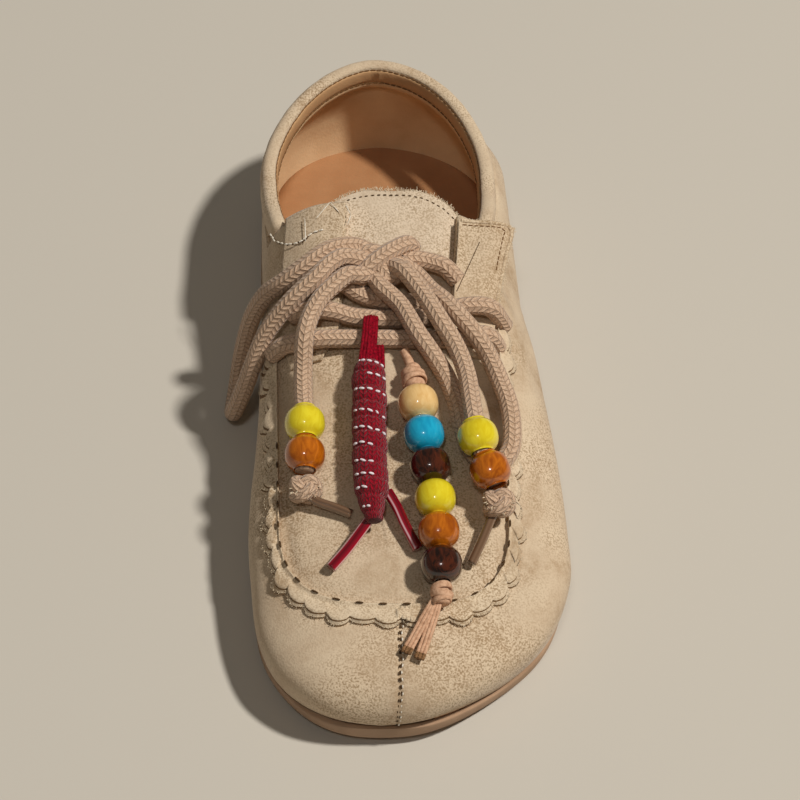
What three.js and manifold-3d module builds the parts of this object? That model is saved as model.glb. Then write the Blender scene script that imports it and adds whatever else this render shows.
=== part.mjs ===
// Moccasin-toe lace-up shoe, the left one of a pair, in millimetres.
// Toe towards -Y, heel towards +Y, medial side towards -X, lateral side towards +X, +Z up.
// Low suede shoe on a thin rubber sole, with a padded collar, a scalloped apron seam,
// round laces with beads on their ends and two charms that hang from the lace rows.

import * as THREE from 'three';
import { mergeVertices } from 'three/addons/utils/BufferGeometryUtils.js';
import Module from 'manifold-3d';

const wasm = await Module();
wasm.setup();

// Driving sizes of the last and the sole
const LENGTH = 250;
const TOE_Y = -125;
const HEEL_Y = TOE_Y + LENGTH;
const TOE_START_Y = -60;
const HEEL_START_Y = 85;
const TOE_TIP_X = -4.6;
const HEEL_TIP_X = 3.5;
const GAP = 0.3;

// Middle of the sole's width, which becomes the origin's X
const ORIGIN_X = 6.15;

// Roundness of the plan outline at the toe and the heel, as superellipse powers
const TOE_POWER_MEDIAL = 2.9;
const TOE_POWER_LATERAL = 3.5;
const HEEL_POWER = 2.05;

// Sole outline, which the toe curve and the heel curve close at both ends
const OUTLINE = [
  { y: -125, medial: -38.4, lateral: 26.6 },
  { y: -100, medial: -42.7, lateral: 47.1 },
  { y: -78, medial: -43.1, lateral: 55.1 },
  { y: -60, medial: -43.5, lateral: 55.8 },
  { y: -45, medial: -42.8, lateral: 55.4 },
  { y: -30, medial: -41.4, lateral: 54.4 },
  { y: -15, medial: -40.4, lateral: 53.0 },
  { y: 0, medial: -39.9, lateral: 51.4 },
  { y: 20, medial: -39.5, lateral: 49.3 },
  { y: 40, medial: -39.3, lateral: 47.6 },
  { y: 60, medial: -39.3, lateral: 46.6 },
  { y: 85, medial: -38.8, lateral: 45.6 },
];

// Side profile: underside of the sole, its thickness, the last's crown, the section's fullness,
// the height of its widest point over the sole, how far the upper stands out over the sole's
// edge there, and how far the lining turns in at its foot
const PROFILE = [
  { y: -125, under: 4.2, thick: 5.0, crown: 31.5, power: 2.4, bulge: 8, over: 1, seat: 2.6 },
  { y: -112, under: 2.2, thick: 5.2, crown: 31.5, power: 2.4, bulge: 9, over: 2.4, seat: 2.6 },
  { y: -98, under: 0.6, thick: 5.6, crown: 32.0, power: 2.4, bulge: 10, over: 1.6, seat: 2.6 },
  { y: -84, under: 0, thick: 6.0, crown: 35.2, power: 2.4, bulge: 11, over: 1.2, seat: 2.6 },
  { y: -60, under: 0, thick: 6.0, crown: 39.5, power: 2.4, bulge: 12, over: 1, seat: 2.6 },
  { y: -30, under: 0, thick: 6.2, crown: 45.0, power: 2.4, bulge: 12, over: 0.9, seat: 2.8 },
  { y: -15, under: 0.6, thick: 6.4, crown: 48.2, power: 2.45, bulge: 12, over: 0.7, seat: 3.0 },
  { y: 0, under: 1.4, thick: 6.6, crown: 51.8, power: 2.5, bulge: 13, over: 0.5, seat: 3.2 },
  { y: 15, under: 1.2, thick: 7.2, crown: 55.6, power: 2.7, bulge: 14, over: 0.3, seat: 3.6 },
  { y: 30, under: 0, thick: 8.4, crown: 59.6, power: 3, bulge: 15, over: 0, seat: 4.2 },
  { y: 48, under: 0, thick: 9.0, crown: 64.5, power: 3.4, bulge: 16, over: 0, seat: 4.8 },
  { y: 65, under: 0, thick: 9.0, crown: 72, power: 3.6, bulge: 17, over: 0, seat: 5.4 },
  { y: 85, under: 0, thick: 9.0, crown: 78, power: 3.8, bulge: 18, over: 0, seat: 5.8 },
  { y: 112, under: 0, thick: 9.0, crown: 80, power: 4, bulge: 18, over: 0, seat: 6.2 },
  { y: 125, under: 0.8, thick: 8.2, crown: 80, power: 4, bulge: 18, over: 0, seat: 6.2 },
];

// Top line of the collar, seen from the side
const TOPLINE = [
  { y: 44, height: 54.5 },
  { y: 52, height: 52.5 },
  { y: 62, height: 49.6 },
  { y: 75, height: 48.2 },
  { y: 92, height: 48.8 },
  { y: 108, height: 51.2 },
  { y: 126, height: 53.6 },
];

// Sole wall from its bevelled underside up: how far it is set in, and its share of the thickness
const SOLE_WALL = [
  { inset: 2.4, share: 0 },
  { inset: 0.9, share: 0.16 },
  { inset: 0.3, share: 0.4 },
  { inset: 0, share: 0.62 },
  { inset: 0, share: 0.88 },
  { inset: 0.4, share: 1 },
];
const SOLE_STATIONS = { toe: 11, side: 16, heel: 9 };

// Upper
const WALL = 2;
const FEATHER_INSET = 2.2;
const TOE_BOX_Y = -99;
const TOE_BOX_POWER = 2.3;
const TOE_TIP_HEIGHT = 15;
const TOE_SETBACK = 0.4;
const HEEL_SETBACK = 1.2;
const HEEL_LEAN = 2.6;
const HEEL_LEAN_START = 20;
const HEEL_LEAN_RISE = 40;
const MEDIAL_LEAN = 3;
const INNER_DROP = 6;

// Plan outline of the upper at the height of the collar
const COLLAR_MEDIAL_X = -38.7;
const COLLAR_LATERAL_X = 38.5;
const COLLAR_ROUND_Y = 72;
const COLLAR_POWER_MEDIAL = 1.75;
const COLLAR_POWER_LATERAL = 1.95;
const TUCK_START_Y = 5;
const TUCK_END_Y = 45;
const TUCK_HEIGHT = 44;
const LOWER_STEPS = 3;
const UPPER_STEPS = 11;
const TOE_STATIONS = 10;
const MIDDLE_STATIONS = 14;
const HEEL_STATIONS = 8;
const SURFACE_PASSES = 6;

// Insole
const INSOLE_THICKNESS = 2.4;
const INSOLE_GAP = 1.8;
const INSOLE_LIP = 3;
const INSOLE_DISH = 0.4;
const INSOLE_STATIONS = { toe: 8, side: 10, heel: 7 };

// Padded collar
const COLLAR_FRONT_Y = 42;
const COLLAR_HEIGHT = 11.5;
const COLLAR_THICKNESS = 6;
const COLLAR_INSET = 1.6;
const COLLAR_STATIONS = 30;
const COLLAR_SIDES = 12;
const COLLAR_SIDE_POWER = 0.8;
const COLLAR_TOP_POWER = 0.7;
const COLLAR_BEND_STRETCH = 1.5;

// Throat between the eyestays
const THROAT_FRONT_Y = -3;
const THROAT_MEDIAL = { front: -15, back: -12 };
const THROAT_LATERAL = { front: 20, back: 25 };
const THROAT_CORNER = 5;
const THROAT_OVERRUN = 4;
const THROAT_LOWEST = 30;

// Size of the blocks that cut the openings
const CUT_HALF_WIDTH = 90;
const CUT_TOP = 120;
const CUT_OVERRUN = 20;
const CUT_STEPS = 16;

// Apron rim
const RIM_LIFT = 0.45;
const RIM_THICKNESS = 1.7;
const RIM_TIP_X = 3;
const RIM_TIP_Y = -101.5;
const RIM_START_Y = -62;
const RIM_BACK_Y = 2;
const RIM_MEDIAL_X = -38.2;
const RIM_LATERAL_X = 39.4;
const RIM_POWER = 2.9;
const RIM_SIDE_WIDTH = 3.2;
const RIM_TOE_WIDTH = 6;
const RIM_LOWEST = 20;
const RIM_FINE_STEPS = 400;
const RIM_INNER_STEPS = 60;
const RIM_BEND_STRETCH = 1.35;
const SCALLOP_PITCH = 7.6;
const SCALLOP_DEPTH = 1.2;
const SCALLOP_POINTS = 4;

// Laces, charms and beads
const LACE_DIAMETER = 5.2;
const THONG_DIAMETER = 3;
const PARACORD_DIAMETER = 3.3;
const AGLET_DIAMETER = 2.6;
const STEP_DIAMETERS = 2;
const CORD_SIDES = 8;
const BEAD_DIAMETER = 12.8;
const BEAD_LENGTH = 10.7;
const BORE_GAP = 0.6;
const BEAD_SIDES = 12;

const suedeColor = new THREE.Color(0xbea583);
const rubberColor = new THREE.Color(0x8c705a);
const insoleColor = new THREE.Color(0xaa7850);
const laceColor = new THREE.Color(0xb99b82);
const thongColor = new THREE.Color(0xc39b7d);
const redColor = new THREE.Color(0x960f23);
const BEAD_COLORS = {
  yellow: new THREE.Color(0xe1cd32),
  amber: new THREE.Color(0xb96919),
  brown: new THREE.Color(0x3c1e14),
  turquoise: new THREE.Color(0x1ea0c3),
  natural: new THREE.Color(0xebc382),
};

function material(color, roughness, metalness = 0) {
  return new THREE.MeshStandardMaterial({ color, roughness, metalness });
}

const suede = () => material(suedeColor, 0.95);
const rubber = () => material(rubberColor, 0.7);
const insoleCover = () => material(insoleColor, 0.8);
const lace = () => material(laceColor, 0.9);
const thong = () => material(thongColor, 0.9);
const redCord = () => material(redColor, 0.7);
const glossyBead = (name) => material(BEAD_COLORS[name], 0.15);

// Smooth value of one column of a table at y, level beyond its ends
function column(table, name, y) {
  const last = table.length - 1;
  if (y <= table[0].y) return table[0][name];
  if (y >= table[last].y) return table[last][name];
  let i = 0;
  while (table[i + 1].y < y) i += 1;
  const slope = (k) => {
    const low = Math.max(k - 1, 0);
    const high = Math.min(k + 1, last);
    return (table[high][name] - table[low][name]) / (table[high].y - table[low].y);
  };
  const span = table[i + 1].y - table[i].y;
  const t = (y - table[i].y) / span;
  const start = table[i][name];
  const end = table[i + 1][name];
  return (
    start * (2 * t ** 3 - 3 * t ** 2 + 1) +
    slope(i) * span * (t ** 3 - 2 * t ** 2 + t) +
    end * (3 * t ** 2 - 2 * t ** 3) +
    slope(i + 1) * span * (t ** 3 - t ** 2)
  );
}

function roundEnd(t, power) {
  return Math.max(0, 1 - Math.min(1, t) ** power) ** (1 / power);
}

// Plan outline at y, grown outwards by grow all round
function outlineAt(y, grow = 0) {
  const inToe = y < TOE_START_Y;
  const inHeel = y > HEEL_START_Y;
  const medial = column(OUTLINE, 'medial', y) - grow;
  const lateral = column(OUTLINE, 'lateral', y) + grow;
  if (inToe) {
    const t = (TOE_START_Y - y) / (TOE_START_Y - TOE_Y + grow);
    return {
      medial: TOE_TIP_X + (medial - TOE_TIP_X) * roundEnd(t, TOE_POWER_MEDIAL),
      lateral: TOE_TIP_X + (lateral - TOE_TIP_X) * roundEnd(t, TOE_POWER_LATERAL),
    };
  }
  if (inHeel) {
    const t = (y - HEEL_START_Y) / (HEEL_Y - HEEL_START_Y + grow);
    const scale = roundEnd(t, HEEL_POWER);
    return {
      medial: HEEL_TIP_X + (medial - HEEL_TIP_X) * scale,
      lateral: HEEL_TIP_X + (lateral - HEEL_TIP_X) * scale,
    };
  }
  return { medial, lateral };
}

const soleUnder = (y) => Math.max(0, column(PROFILE, 'under', y));
const soleTop = (y) => soleUnder(y) + column(PROFILE, 'thick', y);

// Stations from the toe to the heel, close together at both round ends
function stations(toeY, heelY, toeCount, middleCount, heelCount) {
  const list = [];
  for (let i = 0; i < toeCount; i += 1) {
    const angle = (Math.PI / 2) * ((i + 0.35) / toeCount);
    list.push(toeY + (TOE_START_Y - toeY) * (1 - Math.cos(angle)));
  }
  for (let i = 0; i <= middleCount; i += 1) {
    list.push(TOE_START_Y + ((HEEL_START_Y - TOE_START_Y) * i) / middleCount);
  }
  for (let i = heelCount - 1; i >= 0; i -= 1) {
    const angle = (Math.PI / 2) * ((i + 0.35) / heelCount);
    list.push(heelY - (heelY - HEEL_START_Y) * (1 - Math.cos(angle)));
  }
  return list;
}

// Height of the last's crown at y, rounded down over the toe box
function crownAt(y, grow) {
  const crown = column(PROFILE, 'crown', y) + grow;
  if (y >= TOE_BOX_Y) return crown;
  const t = (TOE_BOX_Y - y) / (TOE_BOX_Y - TOE_Y - TOE_SETBACK + grow);
  return TOE_TIP_HEIGHT + (crown - TOE_TIP_HEIGHT) * roundEnd(t, TOE_BOX_POWER);
}

// How far the last leans to the medial side with height, between the ball and the collar
function leanAt(y, z) {
  const share = THREE.MathUtils.smoothstep(y, -20, 50);
  const front = 1 - THREE.MathUtils.smoothstep(y, TUCK_START_Y, TUCK_END_Y);
  const rise = THREE.MathUtils.smoothstep(z, 15, 55);
  return -MEDIAL_LEAN * share * front * rise;
}

// Plan outline at the height of the collar, grown outwards by grow all round
function collarOutline(y, grow) {
  const t = Math.max(0, y - COLLAR_ROUND_Y) / (HEEL_Y - COLLAR_ROUND_Y + grow);
  return {
    medial: (COLLAR_MEDIAL_X - grow) * roundEnd(t, COLLAR_POWER_MEDIAL),
    lateral: (COLLAR_LATERAL_X + grow) * roundEnd(t, COLLAR_POWER_LATERAL),
  };
}

// How far the heel's back leans forward with height
function heelShift(y, z) {
  const share = THREE.MathUtils.smoothstep(y, HEEL_START_Y, HEEL_Y);
  const rise = Math.max(0, z - HEEL_LEAN_START) / HEEL_LEAN_RISE;
  return -HEEL_LEAN * share * Math.min(1, rise);
}

// Share of the wall's turn-in that points along the foot, towards its middle, at y
function endShare(y) {
  const toe = THREE.MathUtils.smoothstep(-y, -TOE_START_Y + 20, -TOE_Y);
  const heel = THREE.MathUtils.smoothstep(y, HEEL_START_Y + 5, HEEL_Y);
  return toe - heel;
}

// Section of the upper's last at y: its plans at the sole and the collar, heights and power
function sectionAt(y, grow) {
  const stretch = (HEEL_Y - HEEL_START_Y) / (HEEL_Y - HEEL_START_Y - HEEL_SETBACK);
  const toeStretch = (TOE_START_Y - TOE_Y) / (TOE_START_Y - TOE_Y - TOE_SETBACK);
  let planY = y;
  if (y > HEEL_START_Y) planY = HEEL_START_Y + (y - HEEL_START_Y) * stretch;
  if (y < TOE_START_Y) planY = TOE_START_Y + (y - TOE_START_Y) * toeStretch;
  const plan = outlineAt(planY, grow + column(PROFILE, 'over', y));
  const foot = soleTop(y) + GAP;
  const crown = crownAt(y, grow);
  const bulge = Math.min(foot + column(PROFILE, 'bulge', y), foot + (crown - foot) * 0.55);
  return {
    plan,
    collar: collarOutline(planY, grow),
    tuck: THREE.MathUtils.smoothstep(y, TUCK_START_Y, TUCK_END_Y),
    foot,
    crown,
    bulge,
    power: column(PROFILE, 'power', y),
  };
}

// Both edges of a section and their middle at the height z, drawn in towards the collar
function edgesAt({ plan, collar, tuck, bulge }, z) {
  const share = tuck * THREE.MathUtils.smoothstep(z, bulge, TUCK_HEIGHT);
  const medial = THREE.MathUtils.lerp(plan.medial, collar.medial, share);
  const lateral = THREE.MathUtils.lerp(plan.lateral, collar.lateral, share);
  return { medial, lateral, centre: (medial + lateral) / 2 };
}

// One closed ring of the upper's last at y, from the medial bottom edge over the top
function lastRing(y, grow, bottomDrop = 0) {
  const section = sectionAt(y, grow);
  const { plan, foot, crown, bulge, power } = section;
  const points = [];
  const side = (name) => {
    const edge = plan[name];
    const half = edge - (plan.medial + plan.lateral) / 2;
    const turnIn = bottomDrop > 0 ? column(PROFILE, 'seat', y) : FEATHER_INSET;
    const inset = Math.min(turnIn, Math.abs(half) * 0.3) * Math.sign(half);
    const list = [];
    if (bottomDrop > 0) list.push([edge - inset, foot - bottomDrop, turnIn]);
    for (let i = 0; i <= LOWER_STEPS; i += 1) {
      const t = i / LOWER_STEPS;
      const turn = 1 - Math.sin((Math.PI / 2) * t);
      list.push([edge - inset * turn, foot + (bulge - foot) * t, turnIn * turn]);
    }
    for (let i = 1; i < UPPER_STEPS; i += 1) {
      const angle = (Math.PI / 2) * (i / UPPER_STEPS);
      const z = bulge + (crown - bulge) * Math.sin(angle) ** (2 / power);
      const edges = edgesAt(section, z);
      const reach = (edges[name] - edges.centre) * Math.cos(angle) ** (2 / power);
      list.push([edges.centre + reach, z, 0]);
    }
    return list;
  };
  const top = [edgesAt(section, crown).centre, crown, 0];
  for (const [x, z, turn] of [...side('medial'), top, ...side('lateral').reverse()]) {
    const along = heelShift(y, z) + turn * endShare(y);
    points.push(new THREE.Vector3(x + leanAt(y, z), y + along, z));
  }
  return points;
}

// Height of the upper's surface over the point x, y, grown by grow
function surfaceAt(x, y, grow = 0) {
  const section = sectionAt(y, grow);
  const { crown, bulge, power } = section;
  let height = crown;
  for (let pass = 0; pass < SURFACE_PASSES; pass += 1) {
    const edges = edgesAt(section, height);
    const offset = x - leanAt(y, height) - edges.centre;
    const half = (offset < 0 ? edges.medial : edges.lateral) - edges.centre;
    height = bulge + (crown - bulge) * roundEnd(Math.abs(offset / half), power);
  }
  return height;
}

// Closed solid through rings with equal numbers of points, with flat ends
function loftGeometry(rings) {
  const count = rings[0].length;
  const positions = [];
  const indices = [];
  for (const ring of rings) {
    for (const p of ring) positions.push(p.x, p.y, p.z);
  }
  for (let r = 0; r < rings.length - 1; r += 1) {
    for (let i = 0; i < count; i += 1) {
      const next = (i + 1) % count;
      const a = r * count + i;
      const b = r * count + next;
      indices.push(a, b, a + count, b, b + count, a + count);
    }
  }
  // Each end is closed by strips between the ring's two halves
  const close = (start, flip) => {
    for (let i = 0; i < count - 2 - i; i += 1) {
      const a = start + i;
      const b = start + i + 1;
      const c = start + count - 2 - i;
      const d = start + count - 1 - i;
      if (flip) indices.push(b, a, d);
      else indices.push(a, b, d);
      if (b === c) continue;
      if (flip) indices.push(c, b, d);
      else indices.push(b, c, d);
    }
  };
  close(0, true);
  close((rings.length - 1) * count, false);
  const geometry = new THREE.BufferGeometry();
  geometry.setAttribute('position', new THREE.Float32BufferAttribute(positions, 3));
  geometry.setIndex(indices);
  return geometry;
}

function toSolid(geometry) {
  const bare = geometry.clone();
  bare.deleteAttribute('normal');
  bare.deleteAttribute('uv');
  const merged = mergeVertices(bare, 1e-4);
  const mesh = new wasm.Mesh({
    numProp: 3,
    vertProperties: new Float32Array(merged.attributes.position.array),
    triVerts: new Uint32Array(merged.index.array),
  });
  const solid = new wasm.Manifold(mesh);
  if (solid.volume() >= 0) return solid;
  const flipped = new Uint32Array(merged.index.array);
  for (let i = 0; i < flipped.length; i += 3) {
    [flipped[i], flipped[i + 1]] = [flipped[i + 1], flipped[i]];
  }
  return new wasm.Manifold(
    new wasm.Mesh({
      numProp: 3,
      vertProperties: new Float32Array(merged.attributes.position.array),
      triVerts: flipped,
    }),
  );
}

function toGeometry(solid) {
  const mesh = solid.getMesh();
  const geometry = new THREE.BufferGeometry();
  geometry.setAttribute('position', new THREE.BufferAttribute(mesh.vertProperties, 3));
  geometry.setIndex(new THREE.BufferAttribute(mesh.triVerts, 1));
  geometry.computeVertexNormals();
  return geometry;
}

// Solid loft of the upper's last, grown outwards by grow
function lastSolid(grow, bottomDrop = 0) {
  const toeY = TOE_Y + TOE_SETBACK - grow;
  const heelY = HEEL_Y - HEEL_SETBACK + grow;
  const list = stations(toeY, heelY, TOE_STATIONS, MIDDLE_STATIONS, HEEL_STATIONS);
  return toSolid(loftGeometry(list.map((y) => lastRing(y, grow, bottomDrop))));
}

// Prism of a plan outline between two heights
function prism(points, low, high) {
  const shape = new THREE.Shape(points);
  const geometry = new THREE.ExtrudeGeometry(shape, { depth: high - low, bevelEnabled: false });
  geometry.translate(0, 0, low);
  return toSolid(geometry);
}

// Everything above a side-view line, from frontY backwards
function aboveLine(heightAt, frontY, drop) {
  const rings = [];
  const backY = HEEL_Y + CUT_OVERRUN;
  for (let i = 0; i <= CUT_STEPS; i += 1) {
    const y = frontY + ((backY - frontY) * i) / CUT_STEPS;
    const low = heightAt(y) - drop;
    rings.push([
      new THREE.Vector3(-CUT_HALF_WIDTH, y, low),
      new THREE.Vector3(-CUT_HALF_WIDTH, y, CUT_TOP),
      new THREE.Vector3(CUT_HALF_WIDTH, y, CUT_TOP),
      new THREE.Vector3(CUT_HALF_WIDTH, y, low),
    ]);
  }
  return toSolid(loftGeometry(rings));
}

const toplineAt = (y) => column(TOPLINE, 'height', y);

function makeUpper() {
  const outer = lastSolid(0);
  const inner = lastSolid(-WALL, INNER_DROP);
  const collarCut = aboveLine(toplineAt, COLLAR_FRONT_Y, COLLAR_HEIGHT);
  const corner = THROAT_CORNER;
  const chamfer = THROAT_CORNER * 0.3;
  const frontY = THROAT_FRONT_Y;
  const backY = COLLAR_FRONT_Y + THROAT_OVERRUN;
  const throat = prism(
    [
      new THREE.Vector2(THROAT_MEDIAL.front + corner, frontY),
      new THREE.Vector2(THROAT_LATERAL.front - corner, frontY),
      new THREE.Vector2(THROAT_LATERAL.front - chamfer, frontY + chamfer),
      new THREE.Vector2(THROAT_LATERAL.front, frontY + corner),
      new THREE.Vector2(THROAT_LATERAL.back, backY),
      new THREE.Vector2(THROAT_MEDIAL.back, backY),
      new THREE.Vector2(THROAT_MEDIAL.front, frontY + corner),
      new THREE.Vector2(THROAT_MEDIAL.front + chamfer, frontY + chamfer),
    ],
    THROAT_LOWEST,
    CUT_TOP,
  );
  return toGeometry(outer.subtract(inner).subtract(collarCut).subtract(throat));
}

// Sole ring at y: top edge, bulging side wall with a step, and a bevelled underside
function soleRing(y) {
  const plan = outlineAt(y);
  const centre = (plan.medial + plan.lateral) / 2;
  const low = soleUnder(y);
  const high = soleTop(y);
  const thick = high - low;
  const side = (edge) => {
    const half = edge - centre;
    const sign = Math.sign(half);
    const inset = (amount) => edge - sign * Math.min(amount, Math.abs(half) * 0.5);
    return SOLE_WALL.map((row) => [inset(row.inset), low + thick * row.share]);
  };
  const ring = [...side(plan.medial), ...side(plan.lateral).reverse()];
  return ring.map(([x, z]) => new THREE.Vector3(x, y, z));
}

function makeOutsole() {
  const { toe, side, heel } = SOLE_STATIONS;
  const list = stations(TOE_Y, HEEL_Y, toe, side, heel);
  return toGeometry(toSolid(loftGeometry(list.map(soleRing))));
}

const insoleInset = (y) => WALL + INSOLE_GAP + column(PROFILE, 'seat', y);

// Insole ring at y, inside the upper's wall, with a soft upturned edge
function insoleRing(y) {
  const { plan, foot } = sectionAt(y, -insoleInset(y));
  const centre = (plan.medial + plan.lateral) / 2;
  const side = (edge) => {
    const half = edge - centre;
    const sign = Math.sign(half);
    const inset = (amount) => edge - sign * Math.min(amount, Math.abs(half) * 0.5);
    return [
      [edge, foot],
      [edge, foot + INSOLE_THICKNESS],
      [inset(INSOLE_LIP), foot + INSOLE_THICKNESS - INSOLE_DISH],
    ];
  };
  const ring = [...side(plan.medial), ...side(plan.lateral).reverse()];
  return ring.map(([x, z]) => new THREE.Vector3(x, y, z));
}

function makeInsole() {
  const toeY = TOE_Y + TOE_SETBACK + insoleInset(TOE_Y);
  const heelY = HEEL_Y - HEEL_SETBACK - insoleInset(HEEL_Y);
  const { toe, side, heel } = INSOLE_STATIONS;
  const list = stations(toeY, heelY, toe, side, heel);
  return toGeometry(toSolid(loftGeometry(list.map(insoleRing))));
}

// Tongue rows: position along the foot and its two side edges
const TONGUE = [
  { y: -14, medial: -17, lateral: 21 },
  { y: 0, medial: -20, lateral: 25 },
  { y: 20, medial: -23, lateral: 28 },
  { y: 36, medial: -24, lateral: 29 },
  { y: 43, medial: -21, lateral: 26 },
  { y: 47.5, medial: -15, lateral: 21 },
  { y: 50, medial: -7, lateral: 13 },
];
const TONGUE_DROP = WALL + 0.5;
const TONGUE_THICKNESS = 2.2;

function makeTongue() {
  const across = 9;
  const rings = TONGUE.map(({ y, medial, lateral }) => {
    const top = [];
    const bottom = [];
    for (let i = 0; i <= across; i += 1) {
      const x = medial + ((lateral - medial) * i) / across;
      const edge = i === 0 || i === across ? 0.5 : 0;
      const z = surfaceAt(x, y, -TONGUE_DROP);
      top.push(new THREE.Vector3(x, y, z - edge));
      bottom.unshift(new THREE.Vector3(x, y, z - TONGUE_THICKNESS + edge));
    }
    return [...top, ...bottom];
  });
  return toGeometry(toSolid(loftGeometry(rings)));
}

// Path of the collar band's middle, from the medial front round the heel to the lateral front
function collarPoint(t) {
  const heelSpan = HEEL_Y - HEEL_SETBACK - COLLAR_ROUND_Y;
  const sideSpan = COLLAR_ROUND_Y - COLLAR_FRONT_Y - GAP;
  const straight = sideSpan / (sideSpan + heelSpan * COLLAR_BEND_STRETCH);
  const side = t < 0.5 ? 'medial' : 'lateral';
  const s = t < 0.5 ? t * 2 : (1 - t) * 2;
  let y;
  if (s < straight) {
    y = COLLAR_FRONT_Y + GAP + (sideSpan * s) / straight;
  } else {
    const angle = (Math.PI / 2) * ((s - straight) / (1 - straight));
    y = COLLAR_ROUND_Y + (heelSpan - COLLAR_INSET) * Math.sin(angle);
  }
  const top = toplineAt(y);
  const z = top - COLLAR_HEIGHT / 2 + GAP;
  const section = sectionAt(y, -COLLAR_INSET);
  const edges = edgesAt(section, z);
  const rise = Math.min(1, (z - section.bulge) / (section.crown - section.bulge));
  const x = edges.centre + (edges[side] - edges.centre) * roundEnd(rise, section.power);
  return new THREE.Vector3(x + leanAt(y, z), y + heelShift(y, z), z);
}

function makeCollar() {
  const path = [];
  for (let i = 0; i <= COLLAR_STATIONS; i += 1) path.push(collarPoint(i / COLLAR_STATIONS));
  const rings = path.map((p, i) => {
    const before = path[Math.max(i - 1, 0)];
    const after = path[Math.min(i + 1, COLLAR_STATIONS)];
    const along = after.clone().sub(before).setZ(0).normalize();
    if (i === 0 || i === COLLAR_STATIONS) along.set(0, i === 0 ? 1 : -1, 0);
    const out = new THREE.Vector3(along.y, -along.x, 0).negate();
    const ring = [];
    for (let k = 0; k < COLLAR_SIDES; k += 1) {
      const angle = (2 * Math.PI * (k + 0.5)) / COLLAR_SIDES;
      const c = Math.cos(angle);
      const s = Math.sin(angle);
      const wide = (COLLAR_THICKNESS / 2) * Math.sign(c) * Math.abs(c) ** COLLAR_SIDE_POWER;
      const tall = (COLLAR_HEIGHT / 2 - GAP) * Math.sign(s) * Math.abs(s) ** COLLAR_TOP_POWER;
      ring.push(p.clone().addScaledVector(out, wide).setZ(p.z + tall));
    }
    return ring;
  });
  return toGeometry(toSolid(loftGeometry(rings)));
}

// Plan point of the apron line, set inwards by inset, for s from 0 at the medial back
// through 0.5 at the toe to 1 at the lateral back
function apronPoint(s, inset) {
  const side = s < 0.5 ? RIM_MEDIAL_X + inset.side : RIM_LATERAL_X - inset.side;
  const toeReach = RIM_START_Y - RIM_TIP_Y - inset.toe;
  const straight = RIM_BACK_Y - RIM_START_Y;
  const share = straight / (straight + toeReach * RIM_BEND_STRETCH);
  const t = s < 0.5 ? s * 2 : (1 - s) * 2;
  if (t < share) return new THREE.Vector2(side, RIM_BACK_Y - (straight * t) / share);
  const angle = (Math.PI / 2) * ((t - share) / (1 - share));
  const power = 2 / RIM_POWER;
  return new THREE.Vector2(
    RIM_TIP_X + (side - RIM_TIP_X) * Math.cos(angle) ** power,
    RIM_START_Y - toeReach * Math.sin(angle) ** power,
  );
}

function makeApronRim() {
  const fine = RIM_FINE_STEPS;
  const line = [];
  for (let i = 0; i <= fine; i += 1) line.push(apronPoint(i / fine, { side: 0, toe: 0 }));
  let length = 0;
  const travelled = [0];
  for (let i = 1; i <= fine; i += 1) {
    length += line[i].distanceTo(line[i - 1]);
    travelled.push(length);
  }
  const count = Math.round(length / SCALLOP_PITCH);
  const outer = [];
  for (let k = 0; k <= count * SCALLOP_POINTS; k += 1) {
    const target = (length * k) / (count * SCALLOP_POINTS);
    const i = Math.min(Math.max(travelled.findIndex((d) => d >= target), 1), fine);
    const before = line[i - 1];
    const after = line[i];
    const along = after.clone().sub(before).normalize();
    const out = new THREE.Vector2(along.y, -along.x).negate();
    const phase = (k % SCALLOP_POINTS) / SCALLOP_POINTS;
    const depth = SCALLOP_DEPTH * Math.sin(Math.PI * phase);
    outer.push(after.clone().addScaledVector(out, depth));
  }
  const inner = [];
  for (let i = 0; i <= RIM_INNER_STEPS; i += 1) {
    inner.push(apronPoint(i / RIM_INNER_STEPS, { side: RIM_SIDE_WIDTH, toe: RIM_TOE_WIDTH }));
  }
  const band = prism([...outer, ...inner.reverse()], RIM_LOWEST, CUT_TOP);
  const form = lastSolid(RIM_LIFT + RIM_THICKNESS).subtract(lastSolid(RIM_LIFT));
  return toGeometry(form.intersect(band));
}

// Eyestay rows: inner and outer edge of the strip. Where fold is over 0 the strip leaves the
// upper's surface and its outer edge stands at edgeHeight, like a lapel turned outwards.
const EYESTAY_MEDIAL = [
  { y: -10, inner: -21, outer: -31, fold: 0, edgeHeight: 0 },
  { y: 0, inner: -15.5, outer: -33, fold: 0, edgeHeight: 0 },
  { y: 10, inner: -15, outer: -33.5, fold: 0, edgeHeight: 0 },
  { y: 20, inner: -14.2, outer: -33.5, fold: 0, edgeHeight: 0 },
  { y: 30, inner: -13.4, outer: -33, fold: 0, edgeHeight: 0 },
  { y: 41, inner: -12.5, outer: -32, fold: 0, edgeHeight: 0 },
];
const EYESTAY_LATERAL = [
  { y: -10, inner: 25, outer: 34, fold: 0, edgeHeight: 46 },
  { y: 0, inner: 21, outer: 35, fold: 0, edgeHeight: 48 },
  { y: 10, inner: 22, outer: 36.5, fold: 0.2, edgeHeight: 50.5 },
  { y: 20, inner: 23, outer: 38.5, fold: 0.7, edgeHeight: 52 },
  { y: 30, inner: 24, outer: 41, fold: 1, edgeHeight: 53.5 },
  { y: 39, inner: 24.8, outer: 43.5, fold: 1, edgeHeight: 55 },
];
const EYESTAY_LIFT = 0.5;
const EYESTAY_THICKNESS = 1.5;

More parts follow.
